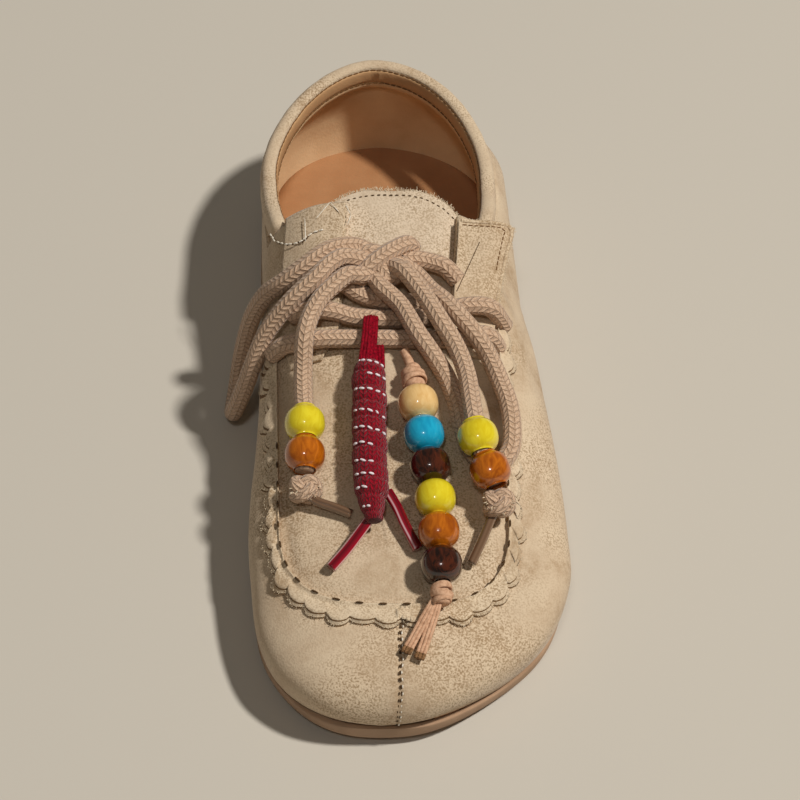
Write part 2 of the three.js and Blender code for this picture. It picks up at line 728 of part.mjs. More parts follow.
function makeEyestay(rows) {
  const across = 6;
  const rings = rows.map(({ y, inner, outer, fold, edgeHeight }) => {
    const top = [];
    const bottom = [];
    const start = surfaceAt(inner, y, EYESTAY_LIFT);
    for (let i = 0; i <= across; i += 1) {
      const t = i / across;
      const x = inner + (outer - inner) * t;
      const edge = i === 0 || i === across ? 0.3 : 0;
      const lying = fold < 1 ? surfaceAt(x, y, EYESTAY_LIFT) : start;
      const folded = THREE.MathUtils.lerp(start, edgeHeight, t);
      const z = THREE.MathUtils.lerp(lying, folded, fold);
      bottom.push(new THREE.Vector3(x, y, z + edge));
      top.unshift(new THREE.Vector3(x, y, z + EYESTAY_THICKNESS - edge));
    }
    return [...bottom, ...top];
  });
  return toGeometry(toSolid(loftGeometry(rings)));
}

const toVectors = (points) => points.map(([x, y, z]) => new THREE.Vector3(x, y, z));

// Round cord along a smooth curve through hand-chosen points
function makeCord(points, diameter) {
  const curve = new THREE.CatmullRomCurve3(toVectors(points), false, 'centripetal');
  const section = new THREE.Shape();
  for (let i = 0; i < CORD_SIDES; i += 1) {
    const angle = (2 * Math.PI * i) / CORD_SIDES;
    const x = (diameter / 2) * Math.cos(angle);
    const y = (diameter / 2) * Math.sin(angle);
    if (i === 0) section.moveTo(x, y);
    else section.lineTo(x, y);
  }
  const steps = Math.max(2, Math.round(curve.getLength() / (STEP_DIAMETERS * diameter)));
  return new THREE.ExtrudeGeometry(section, {
    steps,
    extrudePath: curve,
    bevelEnabled: false,
  });
}

// Soft lump, such as a knot: a sphere with three radii
function makeLump([x, y, z], [rx, ry, rz]) {
  const geometry = new THREE.SphereGeometry(1, 12, 8);
  geometry.scale(rx, ry, rz);
  geometry.translate(x, y, z);
  return toGeometry(toSolid(geometry));
}

// Barrel bead round a cord: a closed profile with a bore, its axis along direction
function makeBead(centre, direction, cordDiameter, size = {}) {
  const { diameter = BEAD_DIAMETER, length = BEAD_LENGTH } = size;
  const bore = cordDiameter / 2 + BORE_GAP;
  const half = length / 2;
  const radius = diameter / 2;
  const lip = Math.max(bore + 0.5, radius * 0.6);
  const profile = [
    new THREE.Vector2(bore, -half),
    new THREE.Vector2(lip, -half),
    new THREE.Vector2(radius * 0.88, -half * 0.66),
    new THREE.Vector2(radius, -half * 0.22),
    new THREE.Vector2(radius, half * 0.22),
    new THREE.Vector2(radius * 0.88, half * 0.66),
    new THREE.Vector2(lip, half),
    new THREE.Vector2(bore, half),
    new THREE.Vector2(bore, -half),
  ];
  const geometry = new THREE.LatheGeometry(profile, BEAD_SIDES);
  const axis = new THREE.Vector3(...direction).normalize();
  geometry.applyQuaternion(turnFromY(axis));
  geometry.translate(...centre);
  return geometry;
}

// Turn that lays the Y axis along a unit vector
function turnFromY(axis) {
  return new THREE.Quaternion().setFromUnitVectors(new THREE.Vector3(0, 1, 0), axis);
}

const between = (a, b) => b.map((value, i) => value - a[i]);
const middle = (a, b) => a.map((value, i) => (value + b[i]) / 2);

// Lace rows over the tongue, from the medial to the lateral eyelets
const LACE_ROWS = {
  lace_row_front: [[-33, -4, 47.2], [-27, -5.5, 51], [-20, -6, 52.9], [-9, -6, 53],
    [4, -6.5, 53.4], [16, -6.5, 53.2], [25, -6, 54.2], [32, -4.5, 53]],
  lace_row_middle: [[-26.5, 4.4, 54.7], [-20, 3.5, 56], [-16, 3, 55.6], [-11, 2.5, 54], [4, 2, 53.3],
    [16, 3, 54], [25, 4, 57.3], [33, 4.8, 55.9]],
  lace_row_top: [[-20.5, 15, 59.3], [-16.5, 13.3, 59.5], [-12.5, 12.2, 58], [-8.5, 10.6, 55.8],
    [-2, 8.6, 54.9], [7, 7.8, 54.8]],
  lace_row_knot: [[10.6, 22, 59.8], [15.4, 21.4, 59], [19.4, 19.8, 58.6]],
};

// Bow loops and hanging ends, each from the knot outwards
const LOOP_MEDIAL = [
  [-9, 25, 62.6], [-14.1, 23.4, 64.6], [-19.5, 21, 64.8], [-26, 17.2, 62], [-32.4, 15.8, 56.4],
  [-38.6, 17.6, 47.4], [-42.6, 18.8, 36], [-45, 18.8, 24], [-46.6, 17.4, 13], [-48, 11.5, 5],
  [-49, 4, 4.6], [-48.6, -1.8, 12], [-45.6, -2.6, 24], [-42.4, -1.2, 36], [-39.2, 1.8, 44.6],
  [-35.2, 4.2, 51.4], [-29.8, 6.6, 58.4], [-22.4, 11, 63.8], [-18.5, 15, 65.2], [-14.5, 18, 65.2],
  [-9.4, 18.8, 63.6],
];
const LOOP_LATERAL = [
  [-1.4, 8.9, 60.6], [1.6, 5.6, 60.2], [4.5, 1.9, 59.8], [9.2, -8.8, 59.2], [14.2, -15.3, 55.6],
  [18.5, -21.1, 51.2], [21.3, -28.8, 48.2], [23, -38, 46.2], [25.6, -45.6, 44.8], [29.4, -49.2, 43.6],
  [34, -48.8, 43.2], [37.4, -45, 44.4], [38.5, -38.4, 46], [37.9, -28.4, 47.6], [35.6, -20.4, 49],
  [32.2, -13.8, 53.2], [28, -9.6, 58.6], [22.4, -3.4, 61.6], [18, 3.2, 61.2], [14, 9.4, 59.4],
  [10, 16, 58.8],
];
const END_MEDIAL = [
  [-8.6, 12.6, 62.6], [-12.6, 11.6, 63.8], [-17, 8, 63.2], [-20.8, 4.4, 61.8], [-24.5, -1.6, 59.8],
  [-26.5, -8, 57.4], [-27.1, -15.6, 50.6], [-27.2, -24, 47.2], [-26.8, -35.6, 46.6], [-27, -46.6, 44.9],
  [-27.1, -52, 43.2],
];
const END_LATERAL = [
  [5.5, 12.4, 65], [10.8, 4.1, 64.2], [16.3, -6.8, 63], [21.4, -14.6, 58.6], [24.2, -23.4, 56.2],
  [25.2, -34.6, 55.6], [26.6, -46.8, 53.8], [30, -57.2, 50.4], [31.8, -61.2, 48.6],
];
const KNOT_CENTRE = [-0.4, 20.4, 60.8];
const KNOT_RADII = [8, 5.2, 4];

// Knots at the lace ends and the wrapped tips below them
const END_KNOT_MEDIAL = [-27.2, -57.6, 41.4];
const END_KNOT_LATERAL = [32.4, -65.6, 44.6];
const END_KNOT_RADII = [5, 4.2, 4];
const AGLET_MEDIAL = [[-23, -61.6, 40.2], [-18, -63.6, 39.9], [-12.8, -66, 39.6]];
const AGLET_LATERAL = [[29.8, -70.4, 41.6], [27, -76.6, 39.6], [23.6, -83.4, 37.4]];

// Thong charm, from the front lace row to its bottom knot
const THONG = [
  [5.2, -11.2, 53.2], [6.4, -14.6, 52.6], [7.7, -20.8, 51.8], [8.8, -31.4, 51.5], [10.2, -42.3, 49.6],
  [11.7, -53.4, 47.7], [12.9, -64.5, 45.7], [13.6, -75.6, 43.6], [14, -86.7, 41.4], [14, -91.4, 40.4],
];

// Pieces threaded on a cord: the cord's route, the route point at their middle, and their finish
const THREADED = {
  lace_bead_yellow_medial: { route: END_MEDIAL, at: 8, finish: 'yellow' },
  lace_bead_amber_medial: { route: END_MEDIAL, at: 9, finish: 'amber' },
  lace_bead_yellow_lateral: { route: END_LATERAL, at: 6, finish: 'yellow' },
  lace_bead_amber_lateral: { route: END_LATERAL, at: 7, finish: 'amber' },
  charm_knot_top: { route: THONG, at: 2, finish: 'thong', size: { diameter: 8, length: 7 } },
  charm_bead_natural: { route: THONG, at: 3, finish: 'natural' },
  charm_bead_turquoise: { route: THONG, at: 4, finish: 'turquoise' },
  charm_bead_brown_upper: { route: THONG, at: 5, finish: 'brown' },
  charm_bead_yellow: { route: THONG, at: 6, finish: 'yellow' },
  charm_bead_amber: { route: THONG, at: 7, finish: 'amber' },
  charm_bead_brown_lower: { route: THONG, at: 8, finish: 'brown' },
};
const CHARM_BOTTOM_KNOT = [13.8, -95.6, 38.4];
const CHARM_BOTTOM_KNOT_RADII = [4.4, 3.2, 3.2];
const CHARM_TAILS = [
  [[13, -99.6, 37.2], [6.4, -114.4, 31.4]],
  [[11.6, -99.2, 37.2], [2.4, -112.8, 32.4]],
];
const TAIL_WIDTH = 3.6;
const TAIL_THICKNESS = 1.5;

// Red cord charm: a loop over the front lace rows, a wrapped body and two free ends
const RED_LOOP = [[-6.2, -1.6, 58.6], [-6.2, -8, 59], [-6.3, -13.2, 56.4]];
const RED_BODY = [
  [-6.4, -16.8, 54], [-6.6, -31, 51], [-6.9, -46, 48.2], [-6.7, -61, 45.6], [-6, -71.6, 43.6],
];
const RED_BODY_RADIUS = 5.3;
const RED_BODY_RINGS = 12;
const RED_BODY_SIDES = 12;
const RED_BODY_TAPER = 5;
const RED_LOOP_DIAMETER = 5.4;
const RED_END_MEDIAL = [[-10.6, -73.2, 39.6], [-14.6, -78.4, 38], [-19.6, -84, 36.2]];
const RED_END_LATERAL = [[1.2, -65.6, 42.4], [3.2, -70.6, 41.2], [7.2, -79, 39]];

// Wrapped body of the red charm: rings along its line, drawn in at both ends
function makeRedBody() {
  const curve = new THREE.CatmullRomCurve3(toVectors(RED_BODY), false, 'centripetal');
  const rings = [];
  for (let i = 0; i <= RED_BODY_RINGS; i += 1) {
    const t = 0.5 - 0.5 * Math.cos((Math.PI * i) / RED_BODY_RINGS);
    const centre = curve.getPointAt(t);
    const along = curve.getTangentAt(t);
    const across = new THREE.Vector3(1, 0, 0).addScaledVector(along, -along.x).normalize();
    const up = new THREE.Vector3().crossVectors(across, along);
    const fromEnd = Math.min(t, 1 - t) * curve.getLength();
    const radius = RED_BODY_RADIUS * Math.min(1, 0.5 + 0.5 * Math.sqrt(fromEnd / RED_BODY_TAPER));
    const ring = [];
    for (let k = 0; k < RED_BODY_SIDES; k += 1) {
      const angle = (2 * Math.PI * k) / RED_BODY_SIDES;
      const point = centre.clone().addScaledVector(across, radius * Math.cos(angle));
      ring.push(point.addScaledVector(up, radius * Math.sin(angle)));
    }
    rings.push(ring);
  }
  return toGeometry(toSolid(loftGeometry(rings)));
}

// Flat strip between two points
function makeStrip([start, end], width, thickness) {
  const along = new THREE.Vector3(...between(start, end));
  const geometry = new THREE.BoxGeometry(width, along.length(), thickness);
  geometry.applyQuaternion(turnFromY(along.normalize()));
  geometry.translate(...middle(start, end));
  return toSolid(geometry);
}

const shoe = new THREE.Group();

function addPart(name, geometry, partMaterial) {
  const mesh = new THREE.Mesh(geometry, partMaterial);
  mesh.name = name;
  shoe.add(mesh);
}

// The origin stands on the floor under the middle of the shoe
shoe.position.x = -ORIGIN_X;

addPart('outsole', makeOutsole(), rubber());
addPart('insole', makeInsole(), insoleCover());
addPart('upper', makeUpper(), suede());
addPart('tongue', makeTongue(), suede());
addPart('collar', makeCollar(), suede());
addPart('apron_rim', makeApronRim(), suede());
addPart('eyestay_medial', makeEyestay(EYESTAY_MEDIAL), suede());
addPart('eyestay_lateral', makeEyestay(EYESTAY_LATERAL), suede());

for (const [name, points] of Object.entries(LACE_ROWS)) {
  addPart(name, makeCord(points, LACE_DIAMETER), lace());
}
addPart('lace_knot', makeLump(KNOT_CENTRE, KNOT_RADII), lace());
addPart('lace_loop_medial', makeCord(LOOP_MEDIAL, LACE_DIAMETER), lace());
addPart('lace_loop_lateral', makeCord(LOOP_LATERAL, LACE_DIAMETER), lace());
addPart('lace_end_medial', makeCord(END_MEDIAL, LACE_DIAMETER), lace());
addPart('lace_end_lateral', makeCord(END_LATERAL, LACE_DIAMETER), lace());
addPart('end_knot_medial', makeLump(END_KNOT_MEDIAL, END_KNOT_RADII), lace());
addPart('end_knot_lateral', makeLump(END_KNOT_LATERAL, END_KNOT_RADII), lace());
addPart('aglet_medial', makeCord(AGLET_MEDIAL, AGLET_DIAMETER), thong());
addPart('aglet_lateral', makeCord(AGLET_LATERAL, AGLET_DIAMETER), thong());
addPart('charm_thong', makeCord(THONG, THONG_DIAMETER), thong());
for (const [name, { route, at, finish, size }] of Object.entries(THREADED)) {
  const axis = between(route[at - 1], route[at + 1]);
  const cordDiameter = route === THONG ? THONG_DIAMETER : LACE_DIAMETER;
  const look = finish === 'thong' ? thong() : glossyBead(finish);
  addPart(name, makeBead(route[at], axis, cordDiameter, size), look);
}
addPart('charm_knot_bottom', makeLump(CHARM_BOTTOM_KNOT, CHARM_BOTTOM_KNOT_RADII), thong());
const tails = CHARM_TAILS.map((line) => makeStrip(line, TAIL_WIDTH, TAIL_THICKNESS));
addPart('charm_tails', toGeometry(tails[0].add(tails[1])), thong());
addPart('red_charm_loop', makeCord(RED_LOOP, RED_LOOP_DIAMETER), redCord());
addPart('red_charm_body', makeRedBody(), redCord());
addPart('red_charm_end_medial', makeCord(RED_END_MEDIAL, PARACORD_DIAMETER), redCord());
addPart('red_charm_end_lateral', makeCord(RED_END_LATERAL, PARACORD_DIAMETER), redCord());

export default shoe;
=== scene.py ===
"""Moccasin-toe lace-up shoe, the left one of a pair: its looks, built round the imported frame.

Toe towards -Y, heel towards +Y, medial side towards -X, lateral side towards +X, +Z up.
Sizes here are in millimetres and become metres where a mesh or a curve is made.
"""

import math
import random

import bmesh
import bpy
import numpy as np
from mathutils import Matrix, Vector


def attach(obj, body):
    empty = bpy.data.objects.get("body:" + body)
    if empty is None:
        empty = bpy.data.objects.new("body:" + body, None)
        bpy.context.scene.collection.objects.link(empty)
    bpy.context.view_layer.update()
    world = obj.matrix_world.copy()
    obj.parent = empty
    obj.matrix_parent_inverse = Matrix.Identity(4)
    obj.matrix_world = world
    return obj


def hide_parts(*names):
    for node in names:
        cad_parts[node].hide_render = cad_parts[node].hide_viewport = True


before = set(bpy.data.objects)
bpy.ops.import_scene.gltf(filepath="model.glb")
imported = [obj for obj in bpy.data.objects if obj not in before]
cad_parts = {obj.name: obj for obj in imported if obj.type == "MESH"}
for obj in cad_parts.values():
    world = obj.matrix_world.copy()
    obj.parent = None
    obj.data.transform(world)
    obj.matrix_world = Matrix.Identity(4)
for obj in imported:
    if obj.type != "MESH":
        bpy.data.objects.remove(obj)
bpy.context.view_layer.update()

MM = 0.001
UP = Vector((0, 0, 1))

# Driving sizes of the last and the sole, before the origin is set under the shoe's middle
LENGTH = 250
TOE_Y = -125
HEEL_Y = TOE_Y + LENGTH
TOE_START_Y = -60
HEEL_START_Y = 85
TOE_TIP_X = -4.6
HEEL_TIP_X = 3.5
ORIGIN_X = 6.15
GAP = 0.3

TOE_POWER_MEDIAL = 2.9
TOE_POWER_LATERAL = 3.5
HEEL_POWER = 2.05

WALL = 2
FEATHER_INSET = 2.2
TOE_BOX_Y = -99
TOE_BOX_POWER = 2.3
TOE_TIP_HEIGHT = 15
TOE_SETBACK = 0.4
# How far the rounded tip stands out before the blunt end of the plain upper
NOSE_REACH = 1
HEEL_SETBACK = 1.2
HEEL_LEAN = 2.6
HEEL_LEAN_START = 20
HEEL_LEAN_RISE = 40
MEDIAL_LEAN = 3
MEDIAL_LEAN_YS = (-20, 50)
MEDIAL_LEAN_HEIGHTS = (15, 55)
INSOLE_THICKNESS = 2.4

COLLAR_FRONT_Y = 42
COLLAR_HEIGHT = 11.5
COLLAR_THICKNESS = 6
COLLAR_INSET = 1.6
COLLAR_MEDIAL_X = -38.7
COLLAR_LATERAL_X = 38.5
COLLAR_ROUND_Y = 72
COLLAR_POWER_MEDIAL = 1.75
COLLAR_POWER_LATERAL = 1.95
COLLAR_BEND_STRETCH = 1.5
TUCK_START_Y = 5
TUCK_END_Y = 45
TUCK_HEIGHT = 44

THROAT_FRONT_Y = -3
THROAT_MEDIAL = {"front": -15, "back": -12}
THROAT_LATERAL = {"front": 20, "back": 25}

RIM_LIFT = 0.45
RIM_THICKNESS = 1.7
RIM_TIP_X = 3
RIM_TIP_Y = -101.5
RIM_START_Y = -62
RIM_BACK_Y = 2
RIM_MEDIAL_X = -38.2
RIM_LATERAL_X = 39.4
RIM_POWER = 2.9
RIM_SIDE_WIDTH = 3.2
RIM_TOE_WIDTH = 6
RIM_BEND_STRETCH = 1.35
SCALLOP_PITCH = 7.6
SCALLOP_DEPTH = 1.2

LACE_DIAMETER = 5.2
THONG_DIAMETER = 3
AGLET_DIAMETER = 3
RED_END_DIAMETER = 3.4
BEAD_DIAMETER = 12.8
BEAD_LENGTH = 10.7
BORE_GAP = 0.6


def table(names, *rows):
    """Rows of numbers as dictionaries with the named columns."""
    return [dict(zip(names.split(), row)) for row in rows]


OUTLINE = table(
    "y medial lateral",
    (-125, -38.4, 26.6),
    (-100, -42.7, 47.1),
    (-78, -43.1, 55.1),
    (-60, -43.5, 55.8),
    (-45, -42.8, 55.4),
    (-30, -41.4, 54.4),
    (-15, -40.4, 53.0),
    (0, -39.9, 51.4),
    (20, -39.5, 49.3),
    (40, -39.3, 47.6),
    (60, -39.3, 46.6),
    (85, -38.8, 45.6),
)

PROFILE = table(
    "y under thick crown power bulge over seat",
    (-125, 4.2, 5.0, 31.5, 2.4, 8, 1, 2.6),
    (-112, 2.2, 5.2, 31.5, 2.4, 9, 2.4, 2.6),
    (-98, 0.6, 5.6, 32.0, 2.4, 10, 1.6, 2.6),
    (-84, 0, 6.0, 35.2, 2.4, 11, 1.2, 2.6),
    (-60, 0, 6.0, 39.5, 2.4, 12, 1, 2.6),
    (-30, 0, 6.2, 45.0, 2.4, 12, 0.9, 2.8),
    (-15, 0.6, 6.4, 48.2, 2.45, 12, 0.7, 3.0),
    (0, 1.4, 6.6, 51.8, 2.5, 13, 0.5, 3.2),
    (15, 1.2, 7.2, 55.6, 2.7, 14, 0.3, 3.6),
    (30, 0, 8.4, 59.6, 3, 15, 0, 4.2),
    (48, 0, 9.0, 64.5, 3.4, 16, 0, 4.8),
    (65, 0, 9.0, 72, 3.6, 17, 0, 5.4),
    (85, 0, 9.0, 78, 3.8, 18, 0, 5.8),
    (112, 0, 9.0, 80, 4, 18, 0, 6.2),
    (125, 0.8, 8.2, 80, 4, 18, 0, 6.2),
)

TOPLINE = table(
    "y height",
    (44, 54.5),
    (52, 52.5),
    (62, 49.6),
    (75, 48.2),
    (92, 48.8),
    (108, 51.2),
    (126, 53.6),
)

TONGUE = table(
    "y medial lateral",
    (-14, -17, 21),
    (0, -20, 25),
    (20, -23, 28),
    (36, -24, 29),
    (43, -21, 26),
    (47.5, -15, 21),
    (50, -7, 13),
)
TONGUE_DROP = WALL + 0.5
TONGUE_THICKNESS = 2.2

EYESTAY_MEDIAL = table(
    "y inner outer fold edge_height",
    (-10, -21, -31, 0, 0),
    (0, -15.5, -33, 0, 0),
    (10, -15, -33.5, 0, 0),
    (20, -14.2, -33.5, 0, 0),
    (30, -13.4, -33, 0, 0),
    (41, -12.5, -32, 0, 0),
)
EYESTAY_LATERAL = table(
    "y inner outer fold edge_height",
    (-10, 25, 34, 0, 46),
    (0, 21, 35, 0, 48),
    (10, 22, 36.5, 0.2, 50.5),
    (20, 23, 38.5, 0.7, 52),
    (30, 24, 41, 1, 53.5),
    (39, 24.8, 43.5, 1, 55),
)
EYESTAY_LIFT = 0.5
EYESTAY_THICKNESS = 1.5

# Routes of the laces, the thong and the red cord
LACE_ROWS = {
    "lace_row_front": [
        (-33, -4, 47.2), (-27, -5.5, 51), (-20, -6, 52.9), (-9, -6, 53), (4, -6.5, 53.4),
        (16, -6.5, 53.2), (25, -6, 54.2), (32, -4.5, 53),
    ],
    "lace_row_middle": [
        (-26.5, 4.4, 54.7), (-20, 3.5, 56), (-16, 3, 55.6), (-11, 2.5, 54), (4, 2, 53.3),
        (16, 3, 54), (25, 4, 57.3), (33, 4.8, 55.9),
    ],
    "lace_row_top": [
        (-20.5, 15, 59.3), (-16.5, 13.3, 59.5), (-12.5, 12.2, 58), (-8.5, 10.6, 55.8),
        (-2, 8.6, 54.9), (7, 7.8, 54.8),
    ],
    "lace_row_knot": [(10.6, 22, 59.8), (15.4, 21.4, 59), (19.4, 19.8, 58.6)],
}
LOOP_MEDIAL = [
    (-9, 25, 62.6), (-14.1, 23.4, 64.6), (-19.5, 21, 64.8), (-26, 17.2, 62), (-32.4, 15.8, 56.4),
    (-38.6, 17.6, 47.4), (-42.6, 18.8, 36), (-45, 18.8, 24), (-46.6, 17.4, 13), (-48, 11.5, 5),
    (-49, 4, 4.6), (-48.6, -1.8, 12), (-45.6, -2.6, 24), (-42.4, -1.2, 36), (-39.2, 1.8, 44.6),
    (-35.2, 4.2, 51.4), (-29.8, 6.6, 58.4), (-22.4, 11, 63.8), (-18.5, 15, 65.2),
    (-14.5, 18, 65.2), (-9.4, 18.8, 63.6),
]
LOOP_LATERAL = [
    (-1.4, 8.9, 60.6), (1.6, 5.6, 60.2), (4.5, 1.9, 59.8), (9.2, -8.8, 59.2), (14.2, -15.3, 55.6),
    (18.5, -21.1, 51.2), (21.3, -28.8, 48.2), (23, -38, 46.2), (25.6, -45.6, 44.8),
    (29.4, -49.2, 43.6), (34, -48.8, 43.2), (37.4, -45, 44.4), (38.5, -38.4, 46),
    (37.9, -28.4, 47.6), (35.6, -20.4, 49), (32.2, -13.8, 53.2), (28, -9.6, 58.6),
    (22.4, -3.4, 61.6), (18, 3.2, 61.2), (14, 9.4, 59.4), (10, 16, 58.8),
]
END_MEDIAL = [
    (-8.6, 12.6, 62.6), (-12.6, 11.6, 63.8), (-17, 8, 63.2), (-20.8, 4.4, 61.8),
    (-24.5, -1.6, 59.8), (-26.5, -8, 57.4), (-27.1, -15.6, 50.6), (-27.2, -24, 47.2),
    (-26.8, -35.6, 46.6), (-27, -46.6, 44.9), (-27.1, -52, 43.2),
]
END_LATERAL = [
    (5.5, 12.4, 65), (10.8, 4.1, 64.2), (16.3, -6.8, 63), (21.4, -14.6, 58.6), (24.2, -23.4, 56.2),
    (25.2, -34.6, 55.6), (26.6, -46.8, 53.8), (30, -57.2, 50.4), (31.8, -61.2, 48.6),
]
END_KNOT_MEDIAL = Vector((-27.2, -57.6, 41.4))
END_KNOT_LATERAL = Vector((32.4, -65.6, 44.6))
END_KNOT_RADII = (5, 4.2, 4)
AGLET_MEDIAL = [(-23, -61.6, 40.2), (-18, -63.6, 39.9), (-12.8, -66, 39.6)]
AGLET_LATERAL = [(29.8, -70.4, 41.6), (27, -76.6, 39.6), (23.6, -83.4, 37.4)]
THONG = [
    (5.2, -11.2, 53.2), (6.4, -14.6, 52.6), (7.7, -20.8, 51.8), (8.8, -31.4, 51.5),
    (10.2, -42.3, 49.6), (11.7, -53.4, 47.7), (12.9, -64.5, 45.7), (13.6, -75.6, 43.6),
    (14, -86.7, 41.4), (14, -91.4, 40.4),
]
CHARM_BOTTOM_KNOT = Vector((13.8, -95.6, 38.4))
CHARM_TAILS = [
    [(13, -99.6, 37.2), (6.4, -114.4, 31.4)],
    [(11.6, -99.2, 37.2), (2.4, -112.8, 32.4)],
]
RED_LOOP = [(-6.2, -1.6, 58.6), (-6.2, -8, 59), (-6.3, -13.2, 56.4)]
RED_BODY = [
    (-6.4, -16.8, 54), (-6.6, -31, 51), (-6.9, -46, 48.2), (-6.7, -61, 45.6), (-6, -71.6, 43.6),
]
RED_BODY_RADIUS = 5.3
RED_END_MEDIAL = [(-10.6, -73.2, 39.6), (-14.6, -78.4, 38), (-19.6, -84, 36.2)]
RED_END_LATERAL = [(1.2, -65.6, 42.4), (3.2, -70.6, 41.2), (7.2, -79, 39)]

# Beads: their cord, the route point at their middle, and their finish
BEADS = {
    "lace_bead_yellow_medial": (END_MEDIAL, 8, "bead_yellow"),
    "lace_bead_amber_medial": (END_MEDIAL, 9, "bead_amber"),
    "lace_bead_yellow_lateral": (END_LATERAL, 6, "bead_yellow"),
    "lace_bead_amber_lateral": (END_LATERAL, 7, "bead_amber"),
    "charm_bead_natural": (THONG, 3, "bead_natural"),
    "charm_bead_turquoise": (THONG, 4, "bead_turquoise"),
    "charm_bead_brown_upper": (THONG, 5, "bead_brown"),
    "charm_bead_yellow": (THONG, 6, "bead_yellow"),
    "charm_bead_amber": (THONG, 7, "bead_amber"),
    "charm_bead_brown_lower": (THONG, 8, "bead_brown"),
}


# The last: the same functions as in the part's source

def smoothstep(value, low, high):
    t = min(1, max(0, (value - low) / (high - low)))
    return t * t * (3 - 2 * t)


def mix(a, b, t):
    return a + (b - a) * t


def column(rows, name, y):
    """Smooth value of one column of a table at y, level beyond its ends."""
    last = len(rows) - 1
    if y <= rows[0]["y"]:
        return rows[0][name]
    if y >= rows[last]["y"]:
        return rows[last][name]
    i = 0
    while rows[i + 1]["y"] < y:
        i += 1

    def slope(k):
        low = max(k - 1, 0)
        high = min(k + 1, last)
        return (rows[high][name] - rows[low][name]) / (rows[high]["y"] - rows[low]["y"])

    span = rows[i + 1]["y"] - rows[i]["y"]
    t = (y - rows[i]["y"]) / span
    return (
        rows[i][name] * (2 * t**3 - 3 * t**2 + 1)
        + slope(i) * span * (t**3 - 2 * t**2 + t)
        + rows[i + 1][name] * (3 * t**2 - 2 * t**3)
        + slope(i + 1) * span * (t**3 - t**2)
    )


def round_end(t, power):
    return max(0, 1 - min(1, t) ** power) ** (1 / power)


def outline_at(y, grow=0):
    """Medial and lateral edge of the plan outline at y, grown outwards all round."""
    medial = column(OUTLINE, "medial", y) - grow
    lateral = column(OUTLINE, "lateral", y) + grow
    if y < TOE_START_Y:
        t = (TOE_START_Y - y) / (TOE_START_Y - TOE_Y + grow)
        return (
            mix(TOE_TIP_X, medial, round_end(t, TOE_POWER_MEDIAL)),
            mix(TOE_TIP_X, lateral, round_end(t, TOE_POWER_LATERAL)),
        )
    if y > HEEL_START_Y:
        t = (y - HEEL_START_Y) / (HEEL_Y - HEEL_START_Y + grow)
        scale = round_end(t, HEEL_POWER)
        return mix(HEEL_TIP_X, medial, scale), mix(HEEL_TIP_X, lateral, scale)
    return medial, lateral


def sole_under(y):
    return max(0, column(PROFILE, "under", y))


def sole_top(y):
    return sole_under(y) + column(PROFILE, "thick", y)


def crown_at(y, grow):
    crown = column(PROFILE, "crown", y) + grow
    if y >= TOE_BOX_Y:
        return crown
    t = (TOE_BOX_Y - y) / (TOE_BOX_Y - TOE_Y - TOE_SETBACK + NOSE_REACH + grow)
    return mix(TOE_TIP_HEIGHT, crown, round_end(t, TOE_BOX_POWER))


def lean_at(y, z):
    front = 1 - smoothstep(y, TUCK_START_Y, TUCK_END_Y)
    rise = smoothstep(z, *MEDIAL_LEAN_HEIGHTS)
    return -MEDIAL_LEAN * smoothstep(y, *MEDIAL_LEAN_YS) * front * rise


def collar_outline(y, grow):
    """Medial and lateral edge of the plan outline at the height of the collar."""
    t = max(0, y - COLLAR_ROUND_Y) / (HEEL_Y - COLLAR_ROUND_Y + grow)
    return (
        (COLLAR_MEDIAL_X - grow) * round_end(t, COLLAR_POWER_MEDIAL),
        (COLLAR_LATERAL_X + grow) * round_end(t, COLLAR_POWER_LATERAL),
    )


def heel_shift(y, z):
    rise = max(0, z - HEEL_LEAN_START) / HEEL_LEAN_RISE
    return -HEEL_LEAN * smoothstep(y, HEEL_START_Y, HEEL_Y) * min(1, rise)


# How far past the start of each round end the sole's edge begins to turn in along the foot
TOE_TURN_DELAY = 20
HEEL_TURN_DELAY = 5


def end_share(y):
    """1 at the tip of the toe, -1 at the back of the heel, 0 between them."""
    toe = smoothstep(-y, -TOE_START_Y + TOE_TURN_DELAY, -TOE_Y)
    heel = smoothstep(y, HEEL_START_Y + HEEL_TURN_DELAY, HEEL_Y)
    return toe - heel


# Share of a section's side that lies below its widest point
LOWER_SHARE = 0.2
# Most that the widest point may rise, as a share of the section's height
BULGE_LIMIT = 0.55
# Most that the feather may turn in, as a share of the section's half width
FEATHER_LIMIT = 0.3
HALVINGS = 18
HEIGHT_ROUNDS = 6


